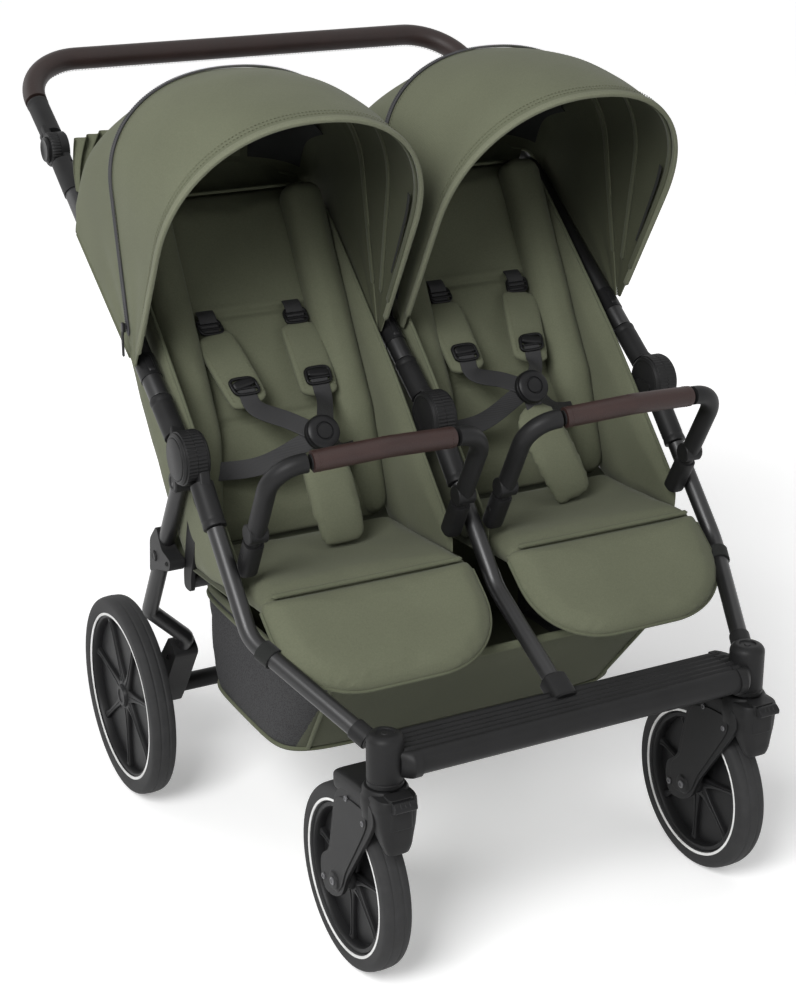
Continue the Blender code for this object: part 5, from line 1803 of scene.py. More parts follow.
        def seams(points: Array) -> Array:
            """Presses both seams in, with a lip above the upper one."""
            off = (points - start) @ BACK_FACE
            up = (points - start) @ run
            dip = sum(ridge(up - at, 0.0040) for at in self.back_seams) * 0.0052
            lip = ridge(up - self.back_seams[1] - 0.0080, 0.0045) * 0.0026
            push = (lip - dip) * (off > -0.010)
            return push[:, None] * BACK_FACE

        sew(back, seams)
        dress(back, OLIVE, f"backrest_{s}", [f"backrest_{s}"])
        x = np.linspace(cx - 0.116, cx + 0.116, 90)
        rows = []
        low, high = self.back_seams
        for at, lift in ((high + 0.0062, 0.0062), (low + 0.0060, 0.0056)):
            rows.append(stitches(on_back(x, at, lift), BACK_FACE))
        dress(to_object(f"backrest_stitches_{s}", joined(rows)), OLIVE_THREAD, f"backrest_{s}")
        line = on_back(np.linspace(cx - 0.118, cx + 0.118, 60), BACK_LENGTH - 0.004, 0.0005)
        piping = to_object(f"backrest_piping_{s}", sweep(line, circle(0.0024, 14), dome=0.002))
        dress(piping, OLIVE_PIPING, f"backrest_{s}")

    def bolster(self, out: int) -> None:
        """A rolled bolster up one side of the backrest."""
        s, cx = self.side.label, self.cx
        share = np.linspace(0, 1, 60)
        distance = 0.004 + (BACK_LENGTH - 0.010) * share
        full = np.clip(share / 0.30, 0, 1) ** 0.8
        path = on_back(cx + out * (0.1240 - 0.0115 * full), distance, -0.008 + 0.024 * full)
        wide = 0.0165 + 0.0125 * full
        deep = 0.010 + 0.016 * full
        outline = rounded_box(1.0, 1.0, 2.8, 40)[None] * np.stack([wide, deep], -1)[:, None]
        which = "outer" if out == self.side.value else "inner"
        roll = sweep(path, outline, BACK_FACE, dome=0.022)
        bolster = to_object(f"backrest_bolster_{which}_{s}", roll)
        simulated(bolster, 0.0025, BACK_FACE, 0.4)

        def waves(points: Array) -> Array:
            """Moves the bolster's cloth along the way the backrest faces."""
            push = 0.0012 * wobble(points, 0.045, 1.0 + out)
            return push[:, None] * BACK_FACE

        sew(bolster, waves)
        dress(bolster, OLIVE, f"backrest_{s}")
        world(on_back(cx, 0.2, -0.018))
        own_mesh(bolster)

    def leg_rest(self) -> None:
        """The leg rest, with round lower corners, piping, and a small tab at each corner."""
        s, cx = self.side.label, self.cx
        start = np.array([0.0, SEAT_FRONT[0] + 0.0065, SEAT_FRONT[1] - 0.0158])
        end = np.array([0.0, self.leg_end[0] + 0.004, self.leg_end[1] - 0.010])
        run = end - start
        out = unit(np.array([0.0, run[2], -run[1]]))
        out = out if out[1] < 0 else -out

        def half(t: Array) -> Array:
            """Half the leg rest's width, which rounds off towards its far end."""
            lean = np.clip((t - 0.30) / 0.70, 0, 1)
            return 0.1480 * (0.30 + 0.70 * np.sqrt(np.clip(1 - lean**2.4, 0, 1)))

        def edge(sign: int) -> Callable[[Array], Array]:
            """The leg rest's edge on one side."""

            def line(t: Array) -> Array:
                """Its points at shares of the length."""
                across = np.column_stack([cx + sign * half(t), 0 * t, 0 * t])
                return start + run * t[:, None] + across

            return line

        form = pillow(edge(-1), edge(1), out, 0.028, (60, 60), 22.0)
        pad = to_object(f"leg_rest_pad_{s}", form)
        simulated(pad, 0.004, out, 0.5)
        dress(pad, OLIVE, f"leg_rest_{s}", [f"leg_rest_{s}"])
        t = 1 - (1 - np.linspace(0.04, 0.999, 70)) ** 1.6
        rim = np.vstack([edge(-1)(t), edge(1)(t)[::-1]])
        rim = evenly(curve_through(evenly(rim, 60), 200), 200)
        piping = to_object(f"leg_rest_piping_{s}", sweep(rim, circle(0.0024, 14), out, dome=0.002))
        dress(piping, OLIVE_PIPING, f"leg_rest_{s}")
        for made in (pad, piping):
            world((cx, *SEAT_FRONT))
            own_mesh(made)


@dataclass
class Harness:
    """Five-point harness: webbing, shoulder pads, ladder locks, round buckle and crotch pad."""

    side: Side
    slot: float = 0.3195

    def build(self) -> None:
        """Makes the harness."""
        s, cx = self.side.label, self.side.value * SEAT_X
        drape = {Side.LEFT: (0.016, 0.012, -0.001), Side.RIGHT: (-0.018, 0.012, 0.014)}[self.side]
        buckle = np.array([cx, 0.0, HINGE_Z]) + drape
        behind = buckle - BACK_FACE * 0.0115
        slot = on_back(cx, self.slot)
        locks, webs, pads, thread = [], [], [], []
        for out in (-1, 1):
            top = on_back(cx + out * 0.063, self.slot - 0.038, 0.0160)
            middle = on_back(cx + out * 0.057 + drape[0] * 0.35, self.slot - 0.095, 0.032)
            low = on_back(cx + out * 0.050 + drape[0] * 0.6, self.slot - 0.150, 0.046)
            path = evenly(curve_through([top, middle, low], 60), 48)
            pads.append(self.sleeve(path))
            across = frames(path, BACK_FACE)[1]
            for edge in (-0.0226, 0.0226):
                row = path[5:-5] + across[5:-5] * edge + BACK_FACE * 0.0058
                thread.append(stitches(row, BACK_FACE))
            slider = on_back(cx + out * 0.063, self.slot - 0.029, 0.0180)
            locks.append(self.ladder(slider, unit(middle - top)))
            clip = path[35] + BACK_FACE * 0.0095
            run = unit(path[38] - path[32])
            locks.append(self.ladder(clip, run, 1.12))
            cover = np.array([clip - run * 0.0105, clip + run * 0.0035]) + BACK_FACE * 0.0010
            section = rounded_box(0.0158, 0.0042, 4.0, 28)
            locks.append(sweep(evenly(cover, 12), section, BACK_FACE, dome=0.004))
            hidden = on_back(cx + out * 0.063, self.slot + 0.003, 0.0030)
            over = low + unit(low - middle) * 0.004 + BACK_FACE * 0.008
            end = behind + [out * 0.006, 0, 0.004] + BACK_FACE * 0.001 * (1 + out)
            loose = over * 0.45 + end * 0.55 + BACK_FACE * (0.004 + 0.001 * out)
            raised = on_back(cx + out * 0.063, self.slot - 0.012, 0.0150)
            webs.append(self.web([hidden, raised, slider, top]))
            webs.append(self.web([clip + run * 0.004, over, loose, end]))
            waist = on_back(cx + out * 0.118, 0.098, 0.016)
            sag = waist * 0.5 + behind * 0.5 + np.array([0, 0, -0.016])
            webs.append(self.web([waist, sag, behind + [out * 0.010, 0, -0.004]]))
        aside = drape[0] * (1.2 if self.side is Side.LEFT else -1.2)
        foot = np.array([cx + aside, -0.046, HINGE_Z - 0.1370])
        head = buckle + [-0.003, 0.004, -0.026]
        tip = head + unit(foot - head) * 0.030 + BACK_FACE * 0.004
        webs.append(self.web([behind + [0, 0, 0.004], tip]))
        pieces = [
            (f"harness_pads_{s}", joined(pads), OLIVE, [f"harness_{s}"]),
            (f"harness_webbing_{s}", joined(webs), STRAP, []),
            (f"harness_ladder_locks_{s}", joined(locks), SMOOTH_PLASTIC, []),
            (f"harness_pad_stitches_{s}", joined(thread), OLIVE_THREAD, []),
        ]
        for name, form, finish, replaces in pieces:
            made = to_object(name, form)
            made.data.materials.append(finish.material())
            if replaces:
                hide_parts(*replaces)
            world(buckle)
            world(slot)
            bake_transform(made)
        self.clasp(buckle)
        self.crotch(foot, head)

    def sleeve(self, path: Array) -> Form:
        """A shoulder pad: flat oval, narrower at its ends, with a soft fold across it."""
        share = np.linspace(0, 1, len(path))
        wide = 0.0275 * (0.80 + 0.22 * np.clip(bulge(share, 5.0), 0, 1) ** 0.7)
        deep = 0.0066 * (0.75 + 0.25 * bulge(share, 4.0)) * (1 - 0.12 * ridge(share - 0.55, 0.05))
        outline = rounded_box(1.0, 1.0, 3.2, 40)[None] * np.stack([wide, deep], -1)[:, None]
        return sweep(path, outline, BACK_FACE, dome=0.010)

    def web(self, points: list[Array]) -> Form:
        """A 25 mm strap, 1.6 mm thick."""
        path = evenly(curve_through(points, 40) if len(points) > 2 else np.array(points), 30)
        return sweep(path, rounded_box(0.0125, 0.0008, 6.0, 24), BACK_FACE)

    def ladder(self, middle: Array, run: Array, size: float = 1.0) -> Form:
        """A ladder-lock slider: an oval frame with two bars."""
        across = np.array([1.0, 0.0, 0.0])
        up = unit(np.cross(across, run))
        up = up if up @ BACK_FACE > 0 else -up
        turn = np.linspace(0, math.tau, 49)
        c, s = np.cos(turn), np.sin(turn)
        a = 0.0158 * size * np.sign(c) * np.abs(c) ** 0.5
        b = 0.0110 * size * np.sign(s) * np.abs(s) ** 0.5
        loop = middle + across * a[:, None] + run * b[:, None]
        section = rounded_box(0.0019, 0.0024, 4.0, 14)
        parts = [sweep(loop, section, up)]
        for step in (-0.0032, 0.0036):
            ends = np.array([middle - across * 0.0150, middle + across * 0.0150])
            ends = ends + run * step + up * 0.0012
            parts.append(sweep(evenly(ends, 8), rounded_box(0.0017, 0.0016, 4.0, 14), up))
        return joined(parts)

    def clasp(self, buckle: Array) -> None:
        """The round buckle: a ribbed base, a domed ring, and a push button in the middle."""
        s = self.side.label
        profile = [
            (0.0, -0.0080),
            (0.0215, -0.0080),
            (0.0232, -0.0060),
            (0.0232, 0.0010),
            (0.0224, 0.0018),
            (0.0232, 0.0026),
            (0.0220, 0.0062),
            (0.0185, 0.0086),
            (0.0125, 0.0089),
            (0.0115, 0.0072),
            (0.0105, 0.0072),
            (0.0096, 0.0092),
            (0.0040, 0.0084),
            (0.0, 0.0082),
        ]
        disc = lathe(profile, buckle, tuple(BACK_FACE), 72)
        made = to_object(f"buckle_body_{s}", disc, 35)
        dress(made, SMOOTH_PLASTIC, "upper_frame", [f"buckle_{s}"])

    def crotch(self, foot: Array, head: Array) -> None:
        """The crotch pad: a tongue with a round head, folded over at its foot."""
        s = self.side.label
        run = unit(head - foot)
        out = unit(np.array([0.0, -run[2], run[1]]))
        share = np.linspace(0, 1, 60)
        bend = (0.004 * np.sin(math.pi * share))[:, None]
        path = foot + (head - foot) * share[:, None] + out * bend
        closing = np.clip(1 - np.clip((share - 0.80) / 0.20, 0, 1) ** 2.6, 0.02, 1)
        wide = 0.0355 * (0.78 + 0.22 * bulge(share, 3.0)) * np.sqrt(closing)
        deep = 0.0078 * (0.62 + 0.38 * bulge(share, 3.0))
        outline = rounded_box(1.0, 1.0, 2.8, 44)[None] * np.stack([wide, deep], -1)[:, None]
        pad = to_object(f"crotch_pad_cover_{s}", sweep(path, outline, out, dome=0.006))
        simulated(pad, 0.002, out, 0.5)
        dress(pad, OLIVE, "chassis", [f"crotch_pad_{s}"])
        world(foot)
        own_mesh(pad)


@dataclass
class Bumper:
    """Bumper bar: hide-covered middle, moulded arms, and step joints with round buttons."""

    side: Side
    pivot: tuple[float, float] = (-0.106, HINGE_Z - 0.1135)
    top: tuple[float, float] = (-0.188, HINGE_Z + 0.0385)
    half: float = 0.144
    radius: float = 0.0122
    corner: float = 0.042
    cover_half: float = 0.098
    cover_r: float = 0.0134

    def build(self) -> None:
        """Makes arms, joints and cover."""
        s, cx = self.side.label, self.side.value * SEAT_X
        py, pz = self.pivot
        ty, tz = self.top
        corners = [(cx - self.half, py, pz), (cx - self.half, ty, tz), (cx, ty - 0.016, tz + 0.010)]
        corners += [(cx + self.half, ty, tz), (cx + self.half, py, pz)]
        path = evenly(route(corners, self.corner, 24), 260)
        run = unit(np.array([0.0, ty - py, tz - pz]))
        parts = []
        for out in (-1, 1):
            arm = path[(path[:, 0] - cx) * out > self.cover_half + 0.0004]
            arm = arm if out > 0 else arm[::-1]
            steps = np.linalg.norm(np.diff(arm, axis=0), axis=1)
            distance = np.concatenate([[0], np.cumsum(steps)])
            from_foot = distance[-1] - distance
            size = np.where(from_foot < 0.060, 0.80, 1.0)
            size = size + 0.03 * ridge(from_foot - 0.064, 0.004)
            parts.append(sweep(arm, circle(self.radius, 40), (0, 0, 1), size, 0.0012))
            foot = np.array([cx + out * self.half, py, pz])
            collar = evenly(np.array([foot - run * 0.012, foot + run * 0.046]), 20)
            parts.append(sweep(collar, rounded_box(0.0118, 0.0128, 3.0), (1, 0, 0), dome=0.004))
            knuckle = foot + run * 0.060
            disc = [(0, -0.0126), (0.0120, -0.0126), (0.0132, -0.0112)]
            disc += [(0.0132, 0.0112), (0.0120, 0.0126), (0, 0.0126)]
            parts.append(lathe(disc, knuckle, Axis.X, 40))
            low = foot + run * 0.020
            parts.append(button_head(low[0] + out * 0.0112, out, low[1], low[2], 0.0058, 0.0018))
        core = path[np.abs(path[:, 0] - cx) < self.cover_half - 0.0005]
        parts.append(sweep(core, circle(0.0096, 24), (0, 0, 1)))
        bar = to_object(f"bumper_arms_{s}", joined(parts), 38)
        dress(bar, PLASTIC, f"bumper_{s}", [f"bumper_bar_{s}"])
        share = np.linspace(0, 1, len(core))
        ends = np.minimum(share, 1 - share)
        size = 0.985 + 0.015 * np.clip(ends / 0.02, 0, 1)
        hide = sweep(core, circle(self.cover_r, 44), (0, 0, 1), size, 0.0014)
        cover = to_object(f"bumper_cover_hide_{s}", hide)
        dress(cover, HIDE, f"bumper_{s}", [f"bumper_cover_{s}"])
        _, across, up = frames(core, (0, 0, 1))
        behind = across * np.sign(across[len(core) // 2, 1])
        out_way = unit(behind - up * 0.8)
        rows = [stitches(core[3:-3] + out_way[3:-3] * (self.cover_r + 0.0001), out_way[3:-3])]
        for at in (4, len(core) - 5):
            turn = np.linspace(0, math.tau, 60)
            spoke = across[at] * np.cos(turn)[:, None] + up[at] * np.sin(turn)[:, None]
            ring = core[at] + self.cover_r * 1.004 * spoke
            rows.append(stitches(ring, unit(ring - core[at]), 0.0026, 0.0042))
        dress(to_object(f"bumper_cover_stitches_{s}", joined(rows)), HIDE_THREAD, f"bumper_{s}")


@dataclass
class Canopy:
    """A canopy: a front skin from rim to zip that folds back, and a rear skin."""

    side: Side
    pivot: tuple[float, float] = upper_line(0.1497)
    outer: float = 0.3720
    inner: float = 0.0149
    thick: float = 0.0020
    rim: float = 120.7
    zip: float = 77.5
    rear: float = 39.8

    @property
    def cx(self) -> float:
        """The canopy's middle."""
        return self.side.value * (self.outer + self.inner) / 2

    def bow(self, u: Array, height: Array, share: Array, half: Array) -> tuple[Array, Array]:
        """Distance from the middle and from the pivot line along a bow.

        A bow rises straight to a share of its height, and then follows |x/h|^2.2 + |r/k|^2.2 = 1.
        """
        side, foot = height * share, 0.18
        turn = math.pi * np.clip((u - foot) / (1 - 2 * foot), 0, 1)
        c, s = -np.cos(turn), np.sin(turn)
        power = 2 / 2.2
        x = half * np.sign(c) * np.abs(c) ** power
        over = side + (height - side) * np.abs(s) ** power
        rise = np.minimum(np.minimum(u, 1 - u) / foot, 1)
        straight = 0.008 + (side - 0.008) * rise
        return x, np.where(rise < 1, straight, over)

    def heights(self, turn: Array) -> tuple[Array, Array]:
        """Height and side share of the bow at an angle, over both skins."""
        v = (self.rim - turn) / (self.rim - self.zip)
        w = np.clip((self.zip - 0.5 - turn) / (self.zip - 0.5 - self.rear), 0, 1.3)
        slack = 0.010 * np.clip(4 * v * (1 - v), 0, 1)
        front = 0.394 + (0.3715 - 0.394) * v - slack
        depth = 0.236 / np.maximum(np.cos(np.radians(turn)), 0.2)
        back = -0.02 * np.log(np.exp(-0.366 / 0.02) + np.exp(-depth / 0.02))
        back = np.minimum(back, 0.366)
        shares = np.where(v <= 1, 0.50 + 0.12 * v, 0.62 + 0.26 * np.minimum(w, 1) ** 2)
        return np.where(v <= 1, front, back), shares

    def surface(
        self, turn: Array, u: Array, lift: Array | float = 0.0, inset: float = 0.0
    ) -> Array:
        """Points of the skin at angles in degrees and shares of the way over."""
        height, share = self.heights(turn)
        half = (self.outer - self.inner) / 2 - inset
        x, reach = self.bow(u, height + lift - inset * (turn > self.zip - 3), share, half + lift)
        radians = np.radians(turn)
        y, z = self.pivot
        return np.stack([self.cx + x, y + reach * np.cos(radians), z + reach * np.sin(radians)], -1)

    def skin(self, turns: Array, count: int, inset: float, folds: float) -> tuple[Array, Array]:
        """Outer and inner side of one skin, with the cloth's unevenness."""
        u = np.linspace(0, 1, count)
        turn, over = np.broadcast_arrays(turns, u[None, :])
        base = self.surface(turn, over, 0.0, inset)
        uneven = 0.0016 * wobble(base, 0.10, 2.0 + self.side.value) * bulge(over, 4.0)
        reach = np.minimum(over, 1 - over)
        span = np.linspace(0, 1, len(turn))[:, None]
        tight = np.clip(6 * span * (1 - span), 0, 1)
        radial = np.sin(np.radians(turn) * 15 + 2 * reach) * ridge(reach - 0.06, 0.07)
        lift = -0.0012 - (uneven * 0.8 + folds * (1 + radial)) * tight
        inner = self.surface(turn, over, lift - self.thick, inset)
        return self.surface(turn, over, lift, inset), inner

    def line(
        self, turn: float, first: float, last: float, lift: float, count: int = 160
    ) -> tuple[Array, Array]:
        """A bow's line on the skin, and the way out of the skin along it."""
        u = np.linspace(first, last, count)
        turns = np.full(count, turn)
        path = self.surface(turns, u, lift)
        out = path - self.surface(turns, u, lift - 0.004)
        return evenly(path, count), unit(out)

    def build(self) -> None:
        """Makes both skins and what is sewn to them."""
        s = self.side.label
        v = np.linspace(0, 1, 44)[:, None]
        turns = self.rim + (self.zip - self.rim) * v
        front = self.cloth(
            f"canopy_front_skin_{s}", turns, 0.0, 0.0006, f"canopy_{s}", f"canopy_front_{s}"
        )
        u = np.linspace(0, 1, 150)[None, :]
        sides = np.clip((0.30 - np.minimum(u, 1 - u)) / 0.12, 0, 1)
        last = self.rear - 6.3 * sides * sides * (3 - 2 * sides)
        first = self.zip + 3.0
        turns = first + (last - first) * np.linspace(0, 1, 44)[:, None]
        rear = self.cloth(
            f"canopy_rear_skin_{s}", turns, 0.0027, 0.0010, "upper_frame", f"canopy_rear_{s}"
        )
        self.trim(front, rear)

    def cloth(
        self, name: str, turns: Array, inset: float, folds: float, body: str, node: str
    ) -> bpy.types.Object:
        """One skin as a thin closed sheet."""
        outer, inner = self.skin(turns, 150, inset, folds)
        made = dress(to_object(name, shell(outer, inner), 50), OLIVE, body, [node])
        self.paint_inside_shade(made)
        return made

    def paint_inside_shade(self, made: bpy.types.Object) -> None:
        """Gives the faces that look towards the seat a darker olive, as painted shade."""
        made.data.materials.append(OLIVE_PAINTED_SHADE.material())
        count = len(made.data.polygons)
        normals, middles = np.empty(count * 3), np.empty(count * 3)
        made.data.polygons.foreach_get("normal", normals)
        made.data.polygons.foreach_get("center", middles)
        away = middles.reshape(-1, 3) - world((self.cx, self.pivot[0] + 0.02, self.pivot[1] + 0.10))
        # Faces turned towards the seat get the painted-shade olive.
        inward = np.sum(normals.reshape(-1, 3) * away, axis=1) < 0
        made.data.polygons.foreach_set("material_index", inward.astype(np.int32))

    def flatten(self, made: bpy.types.Object) -> None:
        """Gives a piece its own copy of its mesh."""
        world(at_x(self.cx, self.pivot))
        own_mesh(made)

    def ribbon(
        self, turn: float, half: float, thick: float, lift: float, reach: float = 0.03
    ) -> Form:
        """A flat band sewn along a bow."""
        path, out = self.line(turn, reach, 1 - reach, lift)
        return sweep(path, rounded_box(half, thick, 4.0, 20), out, dome=0.002)

    def trim(self, front: bpy.types.Object, rear: bpy.types.Object) -> None:
        """Rim hem with two stitch rows, inner bows, zip, and dark patches of painted shade inside.
        """
        s, fold = self.side.label, f"canopy_{self.side.label}"
        band = self.ribbon(self.rim - 0.35, 0.0042, 0.0030, -0.0020, 0.02)
        hem = to_object(f"canopy_hem_{s}", joined([band]))
        # The hem band's lighter olive is a painted highlight.
        dress(hem, OLIVE_HEM_HIGHLIGHT, fold)
        rows = []
        for turn in (self.rim - 2.1, self.rim - 3.1, self.zip + 2.6):
            path, out = self.line(turn, 0.06, 0.94, 0.0002, 400)
            rows.append(stitches(path, out, 0.0030, 0.0050))
        thread = dress(to_object(f"canopy_stitches_{s}", joined(rows)), OLIVE_THREAD, fold)
        places = (self.rim - 2.0, 99.0, self.zip + 1.5)
        bows = [self.ribbon(turn, 0.0040, 0.0018, -0.0052, 0.05) for turn in places]
        inside = dress(to_object(f"canopy_inner_bows_{s}", joined(bows)), OLIVE_LINING, fold)
        band = self.ribbon(self.zip + 0.9, 0.0046, 0.0013, 0.0004)
        tape = dress(to_object(f"canopy_zip_tape_{s}", band), ZIP, fold)
        path, out = self.line(self.zip + 0.9, 0.035, 0.965, 0.0019, 700)
        teeth = stitches(path, out, 0.0022, 0.0030, 0.0011)
        coil = dress(to_object(f"canopy_zip_coil_{s}", teeth), ZIP, fold)
        path, out = self.line(self.zip + 0.9, 0.0, 0.1, 0.0060, 80)
        start = path[32]
        drop = np.array([start, start + [-0.002, -0.001, -0.012], start + [-0.002, -0.001, -0.040]])
        tab = sweep(evenly(drop, 20), rounded_box(0.0026, 0.0009, 4.0, 16), (1, 0.2, 0), dome=0.002)
        block = evenly(np.array([start + [0, 0, 0.006], start - [0, 0, 0.008]]), 10)
        slider = sweep(block, rounded_box(0.0045, 0.0022, 4.0, 16), (1, 0, 0), dome=0.002)
        pull = joined([tab, slider])
        tag = dress(to_object(f"canopy_zip_pull_{s}", pull), SMOOTH_PLASTIC, fold)
        lower = self.hem_line()
        edge = dress(to_object(f"canopy_rear_hem_{s}", lower), OLIVE_PIPING, "upper_frame")
        # A dark patch of painted shade where the rear skin's inside lies in deep shade.
        rear_shade_patch = self.patch(f"canopy_vent_{s}", (0.60, 0.74), (64.0, 44.0), DARK_CLOTH_AND_SHADE, "upper_frame")
        cover = self.patch(
            f"canopy_window_cover_{s}", (0.33, 0.585), (66.0, 44.0), OLIVE_LINING, "upper_frame"
        )
        # A dark strip of painted shade inside the front skin, just behind the rim.
        rim_shade_strip = self.patch(f"canopy_strip_{s}", (0.775, 0.90), (117.0, 115.6), DARK_CLOTH_AND_SHADE, fold)
        self.flap()
        folds = self.gathers()
        sewn = [front, rear, folds, hem, thread, inside]
        sewn += [tape, coil, tag, edge, rear_shade_patch, cover, rim_shade_strip]
        for made in sewn:
            self.flatten(made)

    def flap(self) -> None:
        """The loose cloth from the rear skin's lower edge to the top of the backrest."""
        s, cx = self.side.label, self.side.value * SEAT_X
        t = np.linspace(0, 1, 60)
        x = cx + 0.139 * (2 * t - 1)
        wide = (self.outer - self.inner) / 2 - 0.006
        away = self.cx + wide * 0.90 * (2 * t - 1)
        y = self.pivot[0] + 0.236 - 0.006
        z = self.pivot[1] + 0.236 * math.tan(math.radians(self.rear)) + 0.012
        hung = np.stack([away, np.full(60, y), np.full(60, z)], -1)
        top = on_back(x, BACK_LENGTH - 0.006, -0.026)
        v = np.linspace(0, 1, 24)[:, None, None]
        ripple = 0.006 + 0.003 * np.sin(9 * math.pi * t)[None, :, None]
        sag = np.sin(math.pi * v) * ripple * np.array([0, 0.4, -1.0])
        rows = hung + (top - hung) * v + sag
        made = to_object(f"canopy_flap_{s}", shell(rows, rows + [0, 0.0016, -0.0008]))
        made.data.materials.append(OLIVE_LINING.material())
        world(hung[30])
        world(top[30])
        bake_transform(made)

    def gathers(self) -> bpy.types.Object:
        """The gathered corner behind the rear skin, on the outer side: four soft upright folds."""
        out = self.side.value
        t, v = np.linspace(0, 1, 90)[None, :], np.linspace(0, 1, 40)[:, None]
        fold = 0.0052 * np.sin((t + 0.10 * (1 - v)) * math.pi * 7) * (0.25 + 0.75 * v)
        x = out * (0.3540 - 0.062 * t * (0.40 + 0.60 * v) + fold * 0.3)
        belly = 0.012 * np.sin(math.pi * v) * np.sin(math.pi * (0.15 + 0.7 * t))
        y = self.pivot[0] + 0.236 + belly + fold
        z = self.pivot[1] + 0.178 + 0.080 * v + 0.012 * t * v
        points = np.stack(np.broadcast_arrays(x, y, z), -1)
        cloth = shell(points, points + [0, 0.0016, 0])
        made = to_object(f"canopy_gathers_{self.side.label}", cloth)
        dress(made, OLIVE, "upper_frame")
        return made

    def hem_line(self) -> Form:
        """The welt along the rear skin's lower edge."""
        u = np.linspace(0.01, 0.99, 200)
        sides = np.clip((0.30 - np.minimum(u, 1 - u)) / 0.12, 0, 1)
        last = self.rear - 6.3 * sides * sides * (3 - 2 * sides)
        path = self.surface(last, u, -0.0022, 0.0027)
        return sweep(evenly(path, 240), circle(0.0026, 12), (0, 0.6, 0.8), dome=0.002)

    def patch(
        self,
        name: str,
        over: tuple[float, float],
        turns: tuple[float, float],
        finish: Finish,
        body: str,
    ) -> bpy.types.Object:
        """A thin panel on the inside of the skin."""
        u, turn = np.linspace(*over, 40)[None, :], np.linspace(*turns, 14)[:, None]
        turn, u = np.broadcast_arrays(turn, u)
        inset = 0.0027 if body == "upper_frame" else 0.0
        form = shell(self.surface(turn, u, -0.0088, inset), self.surface(turn, u, -0.0098, inset))
        return dress(to_object(name, form), finish, body)


